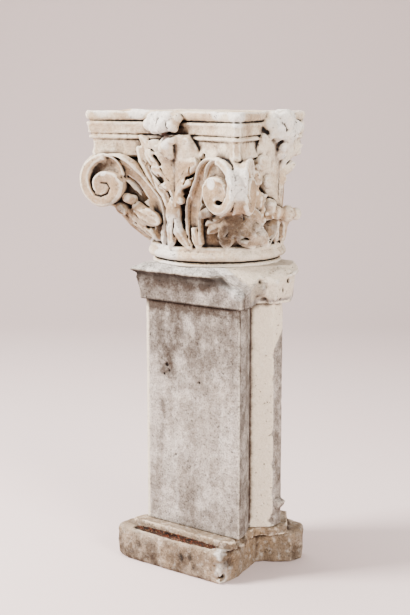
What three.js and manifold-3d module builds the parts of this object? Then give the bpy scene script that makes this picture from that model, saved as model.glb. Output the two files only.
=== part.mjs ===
// A carved stone capital from an engaged column, resting on a stub of a moulded stone pier.
// Millimetres, +Z up. The front looks towards -Y and +X is to its right. The capital's axis is x = y = 0
// and z = 0 is the ground. The back of every block is cut off flat, where it was bonded into a wall.
import * as THREE from 'three';
import { mergeVertices } from 'three/addons/utils/BufferGeometryUtils.js';
import Module from 'manifold-3d';

// ---- driving dimensions ----
const TOP = 1100;                 // top of the abacus
const CAPITAL_FOOT = 737;         // underside of the capital
const PIER_TOP = 649;             // top of the plain pier, under its cap
const BASE_TOP = 98.6;            // bed joint between base and pier
const BED_GAP = 0.3;              // every bed joint stays open by this much
const BACK = 95;                  // y of the flat back

const ABACUS_HALF = 223.4;        // half the width over the horns
const HORN_CUT = 10;              // each horn's point is cut off by this much
const SAGITTA = 45;               // how far each side curves in between its horns
const ABACUS_STEPS = 8;           // segments along one concave side
// heights of the abacus mouldings, each with how far it is set in from the widest line
const ABACUS_LEVELS = [
  [990, 26], [994, 13], [1012, 17], [1029, 14], [1031, 6], [1040, 5], [1042, 10], [1044, 2],
  [1063, 2], [1071, 5], [1073, 9], [1080, 0], [1094, 0], [TOP, 4],
];

// turned outline of the foot, astragal and bell: radius at each height
const ASTRAGAL_RADIUS = 167;
const ASTRAGAL_MID = 761.5;
const ASTRAGAL_HALF = 10.5;
const BELL_LEVELS = [[772, 159], [784, 156], [786, 150], [860, 160], [1000, 168]];
const BELL_SIDES = 32;

const EYE = { along: 165, out: 230, z: 923 };   // centre of a volute on its own face
const VOLUTE_TURN = THREE.MathUtils.degToRad(15);  // the volute's plane turns this much towards its horn
const VOLUTE_TOP = 71;            // radius from the eye to the top of the coil
const VOLUTE_SHRINK = 0.87;       // radius kept over each quarter turn
const VOLUTE_QUARTERS = 5.5;
const RIM_WIDTH = 15;
const RIM_RISE = 9;               // rim above the sunk channel
const EYE_RADIUS = 24;

const LEAF_FOOT = 872;            // where the face leaf spreads
const LEAF_OUT = 178;             // its surface from the axis
const stone = (hex) => new THREE.MeshStandardMaterial({ color: hex, roughness: 0.92, metalness: 0 });

// ---- closed meshes and solids ----
const wasm = await Module();
wasm.setup();

function toSolid(geometry) {
  let bare = geometry.clone();
  bare.deleteAttribute('normal');
  bare.deleteAttribute('uv');
  bare = mergeVertices(bare, 1e-4);
  return solidFrom(bare.attributes.position.array, bare.index.array);
}

function solidFrom(vertices, triangles) {
  const vertProperties = Float32Array.from(vertices);
  const triVerts = Uint32Array.from(triangles);
  const corner = (i) => new THREE.Vector3().fromArray(vertProperties, 3 * triVerts[i]);
  let volume = 0;
  for (let i = 0; i < triVerts.length; i += 3) volume += corner(i).dot(corner(i + 1).cross(corner(i + 2)));
  if (volume < 0) {
    for (let i = 0; i < triVerts.length; i += 3) {
      [triVerts[i + 1], triVerts[i + 2]] = [triVerts[i + 2], triVerts[i + 1]];
    }
  }
  return new wasm.Manifold(new wasm.Mesh({ numProp: 3, vertProperties, triVerts }));
}

// a solid through closed loops of equal length, flat at both ends
function loft(loops) {
  const count = loops[0].length;
  const vertices = loops.flat().flatMap((p) => [p.x, p.y, p.z]);
  const triangles = [];
  for (let k = 0; k + 1 < loops.length; k++) {
    for (let i = 0; i < count; i++) {
      const a = k * count + i;
      const b = k * count + (i + 1) % count;
      triangles.push(a, b, b + count, a, b + count, a + count);
    }
  }
  for (const [k, flip] of [[0, true], [loops.length - 1, false]]) {
    for (const [a, b, c] of capTriangles(loops[k])) {
      triangles.push(k * count + a, k * count + (flip ? c : b), k * count + (flip ? b : c));
    }
  }
  return solidFrom(vertices, triangles);
}

// triangles that close a nearly flat loop, worked out in the loop's own plane
function capTriangles(loop) {
  const normal = new THREE.Vector3();
  loop.forEach((p, i) => normal.add(p.clone().cross(loop[(i + 1) % loop.length])));
  const turn = new THREE.Quaternion().setFromUnitVectors(normal.normalize(), new THREE.Vector3(0, 0, 1));
  const flat = loop.map((p) => p.clone().applyQuaternion(turn)).map((p) => new THREE.Vector2(p.x, p.y));
  return THREE.ShapeUtils.triangulateShape(flat, []);
}

// a closed sheet between a front and a back surface, both given over a grid of s and u
function sheet(rows, columns, front, back) {
  const loops = [];
  for (let i = 0; i <= rows; i++) {
    const loop = [];
    for (let j = 0; j <= columns; j++) loop.push(front(i / rows, 2 * j / columns - 1));
    for (let j = columns; j >= 0; j--) loop.push(back(i / rows, 2 * j / columns - 1));
    loops.push(loop);
  }
  const count = loops[0].length;
  const vertices = loops.flat().flatMap((p) => [p.x, p.y, p.z]);
  const triangles = [];
  for (let k = 0; k < rows; k++) {
    for (let i = 0; i < count; i++) {
      const a = k * count + i;
      const b = k * count + (i + 1) % count;
      triangles.push(a, b, b + count, a, b + count, a + count);
    }
  }
  for (const [k, flip] of [[0, true], [rows, false]]) {
    for (let j = 0; j < columns; j++) {
      const [a, b, c, d] = [j, j + 1, count - 2 - j, count - 1 - j].map((i) => k * count + i);
      triangles.push(...(flip ? [a, c, b, a, d, c] : [a, b, c, a, c, d]));
    }
  }
  return solidFrom(vertices, triangles);
}

const join = (solids) => wasm.Manifold.union(solids);

// the biggest closed skin of a solid, without the pockets that its joined pieces leave inside the stone
const outerSkin = (solid) => solid.decompose().reduce((a, b) => (a.volume() > b.volume() ? a : b));
const smooth = (t) => { const c = Math.min(1, Math.max(0, t)); return c * c * (3 - 2 * c); };
const mix = (a, b, t) => a + (b - a) * t;

// ---- places on a face: u to the right, out from the axis, z up; turned about the axis in quarter turns ----
const face = (u, out, z) => new THREE.Vector3(u, -out, z);
// on a corner: along the diagonal from the axis, across it, and up
const corner = (along, across, z) => new THREE.Vector3(along + across, across - along, 0)
  .multiplyScalar(Math.SQRT1_2).setZ(z);

// ---- one lobe of a leaf ----
// It runs from root to tip, swells outwards, rolls over at the tip and has a sunk midline.
function lobe({ root, tip, outward, width, swell = 6, roll = 0, thick = 16, rootWidth = 0.5, columns = 2 }) {
  const run = tip.clone().sub(root);
  const across = run.clone().cross(outward).normalize();
  const out = outward.clone().normalize();
  const widest = 0.55;
  const halfWidth = (s) => {
    const shape = s < widest ? mix(rootWidth, 1, smooth(s / widest))
      : Math.sqrt(Math.max(0, 1 - ((s - widest) / (1 - widest)) ** 2));
    return width / 2 * Math.max(0.22, shape);
  };
  const midline = (s) => root.clone().addScaledVector(run, s)
    .addScaledVector(out, swell * Math.sin(Math.PI * Math.min(1, s * 1.1)) + roll * s ** 3);
  const front = (s, u) => midline(s).addScaledVector(across, halfWidth(s) * u)
    .addScaledVector(out, 3 - 7 * u * u - (columns > 2 ? 6 : 0) * (1 - Math.abs(u)) ** 3);
  const back = (s, u) => midline(s).addScaledVector(across, halfWidth(s) * u * 0.9).addScaledVector(out, -thick);
  return sheet(3, columns, front, back);
}

// ---- abacus ----
function abacusPlan(inset, z) {
  const half = ABACUS_HALF - inset;
  const run = half - HORN_CUT;
  const points = [];
  for (let side = 0; side < 4; side++) {
    for (let i = 0; i <= ABACUS_STEPS; i++) {
      const u = mix(-run, run, i / ABACUS_STEPS);
      const out = half - SAGITTA * (1 - (u / run) ** 2);
      points.push(face(u, out, z).applyAxisAngle(new THREE.Vector3(0, 0, 1), side * Math.PI / 2));
    }
  }
  return points;
}

const abacus = () => loft(ABACUS_LEVELS.map(([z, inset]) => abacusPlan(inset, z)));

// ---- foot, astragal and bell, turned about the axis ----
function bell() {
  const profile = [new THREE.Vector2(0, CAPITAL_FOOT), new THREE.Vector2(157, CAPITAL_FOOT)];
  for (let i = 0; i <= 4; i++) {
    const angle = mix(-0.5, 0.5, i / 4) * Math.PI;
    profile.push(new THREE.Vector2(
      ASTRAGAL_RADIUS - 8 + 8 * Math.cos(angle), ASTRAGAL_MID + ASTRAGAL_HALF * Math.sin(angle)));
  }
  for (const [z, radius] of BELL_LEVELS) profile.push(new THREE.Vector2(radius, z));
  profile.push(new THREE.Vector2(0, BELL_LEVELS.at(-1)[0]));
  const turned = new THREE.LatheGeometry(profile, BELL_SIDES);
  turned.rotateX(Math.PI / 2);
  return toSolid(turned);
}

// ---- a volute with its stem, for the right end of the front face ----
const volutePlane = {
  along: new THREE.Vector3(Math.cos(VOLUTE_TURN), -Math.sin(VOLUTE_TURN), 0),
  out: new THREE.Vector3(-Math.sin(VOLUTE_TURN), -Math.cos(VOLUTE_TURN), 0),
};
const coilRadius = (quarter) => VOLUTE_TOP * VOLUTE_SHRINK ** quarter;
function onVolute(quarter, radius, rise) {
  const angle = Math.PI / 2 * (1 - quarter);
  return face(EYE.along, EYE.out, EYE.z + radius * Math.sin(angle))
    .addScaledVector(volutePlane.along, radius * Math.cos(angle)).addScaledVector(volutePlane.out, rise);
}

// the coil's body, from its sunk channel back to the corner's diagonal plane
function scroll() {
  const count = 16;
  const frontLoop = [];
  for (let i = 0; i < count; i++) {
    const quarter = 4 * (i + 0.4) / count;
    const closing = smooth(quarter - 3);
    frontLoop.push(onVolute(quarter, mix(coilRadius(quarter), VOLUTE_TOP - 8, closing) - 4, -RIM_RISE));
  }
  const toDiagonal = (p) => -(p.x + p.y) / (Math.cos(VOLUTE_TURN) + Math.sin(VOLUTE_TURN));
  const backLoop = frontLoop.map((p) => p.clone().addScaledVector(volutePlane.out, -toDiagonal(p) - 8));
  return loft([backLoop, frontLoop]);
}

// a flat-topped band along a row of stations, each with its two edges, the way out and its depth
function band(stations) {
  return loft(stations.map(({ outer, inner, out, depth }) => [
    outer, inner, inner.clone().addScaledVector(out, -depth), outer.clone().addScaledVector(out, -depth),
  ]));
}

const STEM_COURSE = [[114, 216, 976], [84, 206, 946], [58, 193, 905], [38, 182, 862], [24, 172, 822], [16, 164, 792]];
const STEM_WIDTH = 30;
const STEM_DEPTH = 26;

function rim() {
  const steps = 18;
  const stations = [];
  const stemCurve = new THREE.CatmullRomCurve3(
    [onVolute(0.35, VOLUTE_TOP, 0), onVolute(0, VOLUTE_TOP - 4, 0), ...STEM_COURSE.map((p) => face(...p))]);
  for (let i = 9; i >= 2; i--) {
    const place = stemCurve.getPointAt(i / 9);
    const out = face(0.15, 1, 0).sub(face(0, 0, 0)).normalize();
    const sideways = out.clone().cross(stemCurve.getTangentAt(i / 9)).normalize();
    const half = mix(RIM_WIDTH, STEM_WIDTH, smooth((i - 2) / 5)) / 2;
    stations.push({ outer: place.clone().addScaledVector(sideways, -half),
      inner: place.clone().addScaledVector(sideways, half), out, depth: STEM_DEPTH });
  }
  for (let i = 0; i <= steps; i++) {
    const quarter = VOLUTE_QUARTERS * i / steps;
    const width = RIM_WIDTH * mix(1, 0.6, i / steps);
    stations.push({ outer: onVolute(quarter, coilRadius(quarter), 0),
      inner: onVolute(quarter, coilRadius(quarter) - width, 0), out: volutePlane.out, depth: RIM_RISE + 4 });
  }
  return band(stations);
}

function eye() {
  const loopAt = (rise, radius) => Array.from({ length: 12 }, (_, i) => onVolute(4 * i / 12, radius, rise));
  return loft([loopAt(-RIM_RISE - 4, EYE_RADIUS), loopAt(0, EYE_RADIUS - 4)]);
}

const volute = () => join([scroll(), rim(), eye()]);

// stone that carries a corner's two volutes back to the bell
function hornCore() {
  const section = (along, low, half) => [
    corner(along, -half, low), corner(along, half, low), corner(along, half, 996), corner(along, -half, 996)];
  return loft([section(120, 800, 46), section(200, 845, 34), section(296, 880, 10)]);
}

// ---- leaves ----
// the leaf in the middle of a face: paired lobes that grow and rise, and a middle one that rolls over at the top
function faceLeaf() {
  const outward = face(0, 1, 0);
  const pairs = [
    { from: 892, reach: 58, to: 958, width: 42, out: 6 },
    { from: 916, reach: 92, to: 990, width: 48, out: 10 },
    { from: 962, reach: 84, to: 1040, width: 46, out: 8 },
  ];
  const lobes = [lobe({ root: face(0, LEAF_OUT - 6, LEAF_FOOT), tip: face(0, LEAF_OUT + 14, 1046),
    outward, width: 56, swell: 4, roll: 16, thick: 26, columns: 4 })];
  for (const side of [-1, 1]) {
    for (const { from, reach, to, width, out } of pairs) {
      lobes.push(lobe({ root: face(side * 4, LEAF_OUT - 6, from), tip: face(side * reach, LEAF_OUT + out, to),
        outward: face(side * 0.2, 1, 0), width, swell: 5, roll: 5, thick: 24 }));
    }
  }
  return join(lobes);
}

// the leaf's short stalk below, which parts in two over the foot of the bell
function faceStalk() {
  const outward = face(0, 1, 0);
  return join([
    lobe({ root: face(0, LEAF_OUT - 4, 895), tip: face(0, 172, 818), outward, width: 34, swell: 8, thick: 30,
      rootWidth: 0.6 }),
    ...[-1, 1].map((side) => lobe({ root: face(side * 6, 175, 846), tip: face(side * 31, 161, 783),
      outward, width: 26, swell: 2, thick: 22, rootWidth: 0.9 })),
  ]);
}

// worn rosette in the middle of the abacus side
function boss() {
  const petals = [];
  for (let i = 0; i < 3; i++) {
    const angle = mix(0, 1, i / 2) * Math.PI;
    petals.push(lobe({ root: face(0, 192, 1080), outward: face(0.25 * Math.cos(angle), 1, 0),
      tip: face(48 * Math.cos(angle), 192, 1082 - 30 * Math.sin(angle)), width: 42, swell: 8, thick: 40, rootWidth: 0.8 }));
  }
  const knob = new THREE.SphereGeometry(17, 8, 5);
  knob.scale(1, 0.8, 1);
  knob.translate(0, -204, 1078);
  return join([...petals, toSolid(knob)]);
}

// the leaf that hangs from under a corner's volutes down the slope to the foot of the bell
function cornerLeaf() {
  const outward = corner(0.67, 0, -0.74);
  const hanging = [
    { from: [238, 0, 868], to: [176, 0, 784], width: 54, outward, roll: 6, columns: 4 },
  ];
  for (const side of [-1, 1]) {
    hanging.push(
      { from: [222, side * 8, 850], to: [170, side * 50, 789], width: 44, outward: corner(0.67, side * 0.35, -0.65) },
      { from: [232, side * 8, 862], to: [186, side * 72, 826], width: 40, outward: corner(0.6, side * 0.5, -0.6) },
      { from: [236, side * 6, 872], to: [196, side * 78, 862], width: 30, outward: corner(0.5, side * 0.7, -0.4) },
    );
  }
  return join(hanging.map(({ from, to, ...rest }) => lobe({ root: corner(...from), tip: corner(...to), thick: 30,
    swell: 8, ...rest })));
}

// small leaf tip that curls over in two round lumps, between the side leaf and the back
function crocket() {
  const lumps = [[58, 186, 852, 15], [76, 184, 848, 13]].map(([u, out, z, radius]) => {
    const ball = new THREE.SphereGeometry(radius, 8, 5);
    ball.translate(...face(u, out, z));
    return toSolid(ball);
  });
  const stalk = lobe({ root: face(44, 158, 792), tip: face(66, 180, 858), outward: face(0.3, 1, 0), width: 44,
    swell: 4, roll: 6, thick: 24, rootWidth: 0.8 });
  return join([...lumps, stalk]);
}

function capital() {
  const quarter = (solid, degrees) => solid.rotate([0, 0, degrees]);
  const flipped = (solid) => solid.mirror([1, 0, 0]);
  const right = volute();
  const left = flipped(right);
  const middle = join([faceLeaf(), faceStalk(), boss()]);
  const sideTip = crocket();
  const nearCorner = join([hornCore(), cornerLeaf()]);
  const whole = join([
    abacus(), bell(), nearCorner, flipped(nearCorner), right, left, middle,
    quarter(left, 90), quarter(right, -90), quarter(middle, 90), quarter(middle, -90),
    quarter(sideTip, 90), quarter(flipped(sideTip), -90),
  ]);
  return outerSkin(whole.intersect(block([-400, 400], [-400, BACK], [CAPITAL_FOOT, TOP])));
}

function block([x0, x1], [y0, y1], [z0, z1]) {
  const box = new THREE.BoxGeometry(x1 - x0, y1 - y0, z1 - z0);
  box.translate((x0 + x1) / 2, (y0 + y1) / 2, (z0 + z1) / 2);
  return toSolid(box);
}

// ---- pier stub ----
const PIER_MID = 37;              // the pier's middle lies this far right of the capital's axis
const PIER_FRONT = 150;           // its front face, in front of the capital's axis
const PIER_HALF = 140.4;
const STRIP_HALF = 150;           // the wider strip behind
const pierPoint = (across, back, z) => new THREE.Vector3(PIER_MID + across, back - PIER_FRONT, z);
const PIER_BACK = BACK + PIER_FRONT;

// right half of the plan, from the front corner to the back: hollowed return, splayed face, strip
const STRIP_BACK = 162;           // the strip ends here, and a narrower tail goes on to the back
const TAIL_HALF = 88;
const HALF_PLAN = [[PIER_HALF, 0], [136, 24], [125, 54], [107, 86], [STRIP_HALF, 123], [STRIP_HALF, STRIP_BACK],
  [TAIL_HALF, STRIP_BACK], [TAIL_HALF, PIER_BACK]];
const CAP_PLAN = [[PIER_HALF, 0], [138, 24], [130, 54], [120, 84], [158, 112], [160, 150], [156, 172],
  [118, PIER_BACK]];

// the whole plan, grown outwards by a margin everywhere but at the back
function pierPlan(half, margin, z) {
  const loop = [...half, ...half.map(([across, back]) => [-across, back]).reverse()];
  return loop.map(([across, back], i) => {
    const [a0, b0] = loop[(i + loop.length - 1) % loop.length];
    const [a1, b1] = loop[(i + 1) % loop.length];
    const before = new THREE.Vector2(back - b0, a0 - across).normalize();
    const after = new THREE.Vector2(b1 - back, across - a1).normalize();
    const grow = before.clone().add(after).multiplyScalar(margin / (1 + before.dot(after)));
    return pierPoint(across + grow.x, Math.min(PIER_BACK, back + grow.y), z);
  });
}

// everything on the outer side of a plane through three points, to be cut away as a break
function breakage(a, b, c, reach = 160) {
  const [p, q, r] = [a, b, c].map((place) => pierPoint(...place));
  const along = q.clone().sub(p).normalize();
  const out = along.clone().cross(r.clone().sub(p)).normalize();
  const across = out.clone().cross(along);
  const square = (lift) => [[-1, -1], [1, -1], [1, 1], [-1, 1]].map(([i, j]) => p.clone()
    .addScaledVector(along, i * reach).addScaledVector(across, j * reach).addScaledVector(out, lift));
  return loft([square(0), square(reach)]);
}

// cap mouldings: height and how far they stand out from the pier
const CAP_LEVELS = [[PIER_TOP, 8], [697, 9], [702, 4], [712, 12], [721, 25], [CAPITAL_FOOT - BED_GAP, 6]];

function pierShaft() {
  const body = loft([pierPlan(HALF_PLAN, 0, BASE_TOP + BED_GAP), pierPlan(HALF_PLAN, 0, PIER_TOP + 4)]);
  const cap = loft(CAP_LEVELS.map(([z, margin]) => pierPlan(CAP_PLAN, margin, z)));
  // the near corner of the cap is broken off down to its plain band
  const chip = breakage([110, -25, 723], [150, -8, 692], [156, 60, 724]);
  // a broken ledge low on the strip's side
  const ledge = loft([[128, 4], [150, 13], [160, 16], [166, 3]].map(([z, out]) => [
    [STRIP_HALF - 10, 126], [STRIP_HALF + out, 132], [STRIP_HALF + out, 156], [STRIP_HALF - 10, 160],
  ].map(([across, back]) => pierPoint(across, back, z))));
  return join([body, cap, ledge]).subtract(chip);
}

// worn base block: outline on the ground and, for each of its points, where it meets the pier's foot
const BASE_PLAN = [
  [96, -53, 110, -28], [122, -50, 134, -22], [129, -16, 150, 4], [131, 14, 142, 30], [118, 67, 130, 62],
  [108, 116, 118, 92], [122, 133, 136, 106], [145, 143, 152, 116], [176, 168, 160, 128], [184, 205, 162, 172],
  [162, PIER_BACK, 112, PIER_BACK], [-162, PIER_BACK, -112, PIER_BACK], [-184, 205, -162, 172],
  [-176, 160, -160, 128], [-150, 116, -134, 106], [-146, 84, -118, 92], [-176, 46, -142, 30],
  [-210, 6, -160, 4], [-213, -26, -164, -22], [-196, -44, -156, -28], [-170, -53, -140, -28],
];
const PLINTH_TOP = 76.9;

function pierBase() {
  const ring = (z, towardsPier, inset = 0) => BASE_PLAN.map(([x, y, bedX, bedY]) => {
    const [across, back] = [mix(x, bedX, towardsPier), mix(y, bedY, towardsPier)];
    return pierPoint(across * (1 - inset / 200), back === PIER_BACK ? back : back + inset, z);
  });
  return loft([ring(0, 0, 6), ring(9, 0), ring(64, 0), ring(PLINTH_TOP, 0, 5), ring(PLINTH_TOP + 1, 0.7),
    ring(PLINTH_TOP + 4, 1), ring(BASE_TOP - 3, 1), ring(BASE_TOP, 1, 3)]);
}

export const parts = new THREE.Group();

function addStone(name, solid, colour) {
  const { vertProperties, triVerts } = solid.getMesh();
  const geometry = new THREE.BufferGeometry();
  geometry.setAttribute('position', new THREE.BufferAttribute(vertProperties, 3));
  geometry.setIndex(new THREE.BufferAttribute(triVerts, 1));
  geometry.computeVertexNormals();
  const mesh = new THREE.Mesh(geometry, stone(colour));
  mesh.name = name;
  parts.add(mesh);
}

addStone('capital', capital(), 0xd8c8b4);
addStone('pedestal_shaft', pierShaft(), 0xc0b7af);
addStone('pedestal_base', pierBase(), 0xb8a696);
export default parts;
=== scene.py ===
"""Worn Corinthian-type capital on a stub of its pier and a base block: stone surfaces and looks."""

import math

import bpy
import numpy as np
import openvdb as vdb
from mathutils import Euler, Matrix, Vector


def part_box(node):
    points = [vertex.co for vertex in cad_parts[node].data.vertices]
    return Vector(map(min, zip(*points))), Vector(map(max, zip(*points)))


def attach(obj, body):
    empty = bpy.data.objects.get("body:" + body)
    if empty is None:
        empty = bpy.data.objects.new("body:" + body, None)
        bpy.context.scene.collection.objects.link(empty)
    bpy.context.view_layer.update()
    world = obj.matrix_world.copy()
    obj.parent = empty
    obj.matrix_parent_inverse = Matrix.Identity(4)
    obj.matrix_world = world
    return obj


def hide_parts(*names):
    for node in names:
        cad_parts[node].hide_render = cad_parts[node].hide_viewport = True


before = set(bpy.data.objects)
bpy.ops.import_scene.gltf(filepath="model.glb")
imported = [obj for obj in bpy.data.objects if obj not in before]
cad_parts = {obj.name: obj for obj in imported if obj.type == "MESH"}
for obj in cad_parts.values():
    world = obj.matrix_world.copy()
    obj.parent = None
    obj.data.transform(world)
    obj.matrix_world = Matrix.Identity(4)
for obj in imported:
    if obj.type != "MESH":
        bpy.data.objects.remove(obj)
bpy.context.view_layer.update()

# ---------------------------------------------------------------- sizes, in millimetres
TOP = 1100.0                # top of the abacus
CAPITAL_FOOT = 737.0        # underside of the capital
PIER_TOP = 649.0            # top of the plain pier, under its cap
BASE_TOP = 98.6             # bed joint between base and pier
BED_GAP = 0.3               # every bed joint stays open by this much
BACK = 95.0                 # y of the flat back
ABACUS_HALF = 227.0         # half the width over the horns
HORN_CUT = 10.0             # each horn's point is cut off by this much
SAGITTA = 48.0              # how far each side curves in between its horns
# abacus mouldings from the bell up: height and how far each stands back
ABACUS_LEVELS = [
    (988, 26), (993, 11), (998, 9.5), (1012, 13), (1026, 12), (1028.5, 13), (1031, 12), (1033, 5), (1039, 5),
    (1040, 9), (1043, 9), (1044.5, 3), (1062, 3), (1063.5, 1), (1070, 1), (1071, 8), (1074, 8), (1076, 3),
    (1081, 0), (1087, -0.5), (1093, 0.5), (1097, 3), (TOP, 8),
]
EYE_ALONG = 165.0           # centre of a volute: along its face, out from the axis and up
EYE_OUT = 230.0
EYE_UP = 923.0
VOLUTE_TURN = math.radians(15)   # a volute's plane turns this much towards its horn
LEAF_OUT = 178.0            # surface of a face leaf from the axis
BAND = 4.0                  # cubes on either side of a surface in which distances are kept


# ---------------------------------------------------------------- numbers and places
def smooth(t):
    c = np.clip(t, 0.0, 1.0)
    return c * c * (3 - 2 * c)


def mix(a, b, t):
    return a + (b - a) * t


def place(x, y, z):
    return np.stack(np.broadcast_arrays(x, y, z), -1).astype(float)


def face(u, out, z):
    """a place on the front face: to the right, out from the axis, up"""
    return place(u, -np.asarray(out, float), z)


def corner(along, across, z):
    """a place on the near corner: along the diagonal from the axis, across it, up"""
    along, across = np.asarray(along, float), np.asarray(across, float)
    return place((along + across) * math.sqrt(0.5), (across - along) * math.sqrt(0.5), z)


def unit(v):
    return v / np.maximum(np.linalg.norm(v, axis=-1, keepdims=True), 1e-9)


def turned(points, quarters=0, mirror=False):
    """points mirrored left to right, then turned about the axis by quarter turns"""
    x, y, z = np.moveaxis(np.asarray(points, float), -1, 0)
    if mirror:
        x = -x
    for _ in range(quarters % 4):
        x, y = -y, x
    return place(x, y, z)


# faces of the capital: quarter turns from the front, and whether what is made there is mirrored left to right
FRONT = (0, False)
FRONT_MIRRORED = (0, True)
RIGHT = (1, False)
RIGHT_MIRRORED = (1, True)
LEFT = (3, False)
LEFT_MIRRORED = (3, True)


# ---------------------------------------------------------------- closed shells
def loft(rings):
    """a closed shell through rings of points, as points and triangles"""
    rings = np.asarray(rings, float)
    count, around = rings.shape[:2]
    points = np.vstack([rings.reshape(-1, 3), rings[0].mean(0), rings[-1].mean(0)])
    k, i = np.meshgrid(np.arange(count - 1), np.arange(around), indexing="ij")
    a, b = (k * around + i).ravel(), (k * around + (i + 1) % around).ravel()
    near, after = np.arange(around), (np.arange(around) + 1) % around
    last = (count - 1) * around
    triangles = np.vstack([
        np.stack([a, b, b + around], 1), np.stack([a, b + around, a + around], 1),
        np.stack([np.full(around, count * around), after, near], 1),
        np.stack([np.full(around, count * around + 1), near + last, after + last], 1),
    ])
    return points, triangles


def sheet(front, back):
    """a closed shell between a front and a back surface, both given as rows of points"""
    return loft(np.concatenate([front, back[:, ::-1]], 1))


def lathe(profile, sides=96):
    angle = np.linspace(0, 2 * math.pi, sides, endpoint=False)
    return loft([place(r * np.cos(angle), r * np.sin(angle), z) for z, r in profile])


# ---------------------------------------------------------------- a block of stone
class Block:
    """Stone kept as distances to its surface on a grid of cubes: pieces are added, hollows are cut."""

    def __init__(self, low, high, grain):
        self.grain = grain
        self.low = np.floor(np.asarray(low, float) / grain).astype(int) - 3
        self.shape = tuple(np.ceil(np.asarray(high, float) / grain).astype(int) + 4 - self.low)
        self.depth = np.full(self.shape, BAND * grain, np.float32)

    def axes(self, low=None, high=None):
        """the part of the grid between two corners, its first cube and its cubes' x, y and z"""
        first, last = np.zeros(3, int), np.array(self.shape)
        if low is not None:
            first = np.floor(np.asarray(low) / self.grain).astype(int) - self.low
            last = np.ceil(np.asarray(high) / self.grain).astype(int) + 1 - self.low
        first = np.clip(first, 0, self.shape)
        last = np.clip(last, first, self.shape)
        part = tuple(slice(a, b) for a, b in zip(first, last))
        lines = [(np.arange(a, b) + s) * self.grain for a, b, s in zip(first, last, self.low)]
        x, y, z = np.meshgrid(*lines, indexing="ij", sparse=True)
        return part, first, (x.astype(np.float32), y.astype(np.float32), z.astype(np.float32))

    def of_shell(self, shell):
        """distances to a closed shell, and the part of the grid it takes up"""
        points, triangles = shell
        margin = (BAND + 1) * self.grain
        part, first, _ = self.axes(points.min(0) - margin, points.max(0) + margin)
        shape = self.depth[part].shape
        if 0 in shape:
            return part, None
        level = vdb.FloatGrid.createLevelSetFromPolygons(
            points.astype(np.float32), triangles=triangles.astype(np.uint32),
            transform=vdb.createLinearTransform(self.grain), halfWidth=BAND)
        values = np.empty(shape, np.float32)
        level.copyToArray(values, ijk=tuple(int(v) for v in first + self.low))
        return part, values

    def of_round(self, ends, radii, rough=0.0, size=14.0, seed=1):
        """distances to a rod with round ends, thicker at one end than at the other"""
        a, b = (np.asarray(e, float) for e in (ends[0], ends[-1]))
        ra, rb = (float(radius) for radius in np.broadcast_to(radii, 2))
        reach = max(ra, rb) + BAND * self.grain + rough
        part, _, (x, y, z) = self.axes(np.minimum(a, b) - reach, np.maximum(a, b) + reach)
        run = b - a
        length = max(float(run @ run), 1e-6)
        t = np.clip(((x - a[0]) * run[0] + (y - a[1]) * run[1] + (z - a[2]) * run[2]) / length, 0, 1)
        off_x, off_y, off_z = (c - start - t * step for c, start, step in zip((x, y, z), a, run))
        away = np.sqrt(off_x ** 2 + off_y ** 2 + off_z ** 2)
        values = (away - mix(ra, rb, t)).astype(np.float32)
        if rough and values.size:
            values = values + rough * self.cloud(size, seed, part)
        return part, values

    def of_plane(self, through, outward, rough=0.0, size=20.0, seed=1):
        """distances to a half space below a plane"""
        n = unit(np.asarray(outward, float))
        p = np.asarray(through, float)
        part, _, (x, y, z) = self.axes()
        values = (x - p[0]) * n[0] + (y - p[1]) * n[1] + (z - p[2]) * n[2]
        if rough:
            values = values + rough * self.cloud(size, seed)
        return part, values.astype(np.float32)

    def beyond(self, a, b, c, rough=0.0, size=20.0, seed=1):
        """distances to all that lies above the plane through three places"""
        up = np.cross(np.asarray(b) - a, np.asarray(c) - a)
        up = up if up[2] > 0 else -up
        part, values = self.of_plane(a, up, rough, size, seed)
        return part, -values

    def join(self, found, blend=0.0):
        part, values = found
        if values is None or not values.size:
            return
        old = self.depth[part]
        if blend:
            t = np.clip(0.5 + 0.5 * (old - values) / blend, 0, 1)
            self.depth[part] = np.minimum(old, mix(old, values, t) - blend * t * (1 - t))
        else:
            self.depth[part] = np.minimum(old, values)

    def cut(self, found, blend=0.0):
        part, values = found
        if values is None or not values.size:
            return
        old = self.depth[part]
        if blend:
            t = np.clip(0.5 + 0.5 * (-values - old) / blend, 0, 1)
            self.depth[part] = mix(old, -values, t) + blend * t * (1 - t)
        else:
            self.depth[part] = np.maximum(old, -values)

    def keep(self, found):
        part, values = found
        self.depth[part] = np.maximum(self.depth[part], values)

    def bead(self, ends, radii, blend=0.0, rough=0.0, size=14.0, seed=1):
        """adds a rod with round ends, or a lump where there is one end"""
        self.join(self.of_round(ends, radii, rough, size, seed), blend)

    def gouge(self, ends, radii, blend=0.0, rough=0.0, size=14.0, seed=1):
        """cuts such a rod or lump away"""
        self.cut(self.of_round(ends, radii, rough, size, seed), blend)

    def trim(self, foot, top):
        """saws the block flat at its back, its foot and its top"""
        self.keep(self.of_plane((0, BACK, 0), (0, 1, 0)))
        self.keep(self.of_plane((0, 0, foot), (0, 0, -1)))
        self.keep(self.of_plane((0, 0, top), (0, 0, 1)))

    def furrow(self, line, radii, blend=0.0, rough=0.0, size=14.0, seed=1):
        """gouges from each place of a line to the next"""
        for a, b in zip(line, line[1:]):
            self.gouge([a, b], radii, blend, rough, size, seed)

    def add(self, shell, side=FRONT, blend=0.0):
        """adds a closed shell, made for the front, to a face of the capital"""
        points, triangles = shell
        self.join(self.of_shell((turned(points, *side), triangles)), blend)

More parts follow.
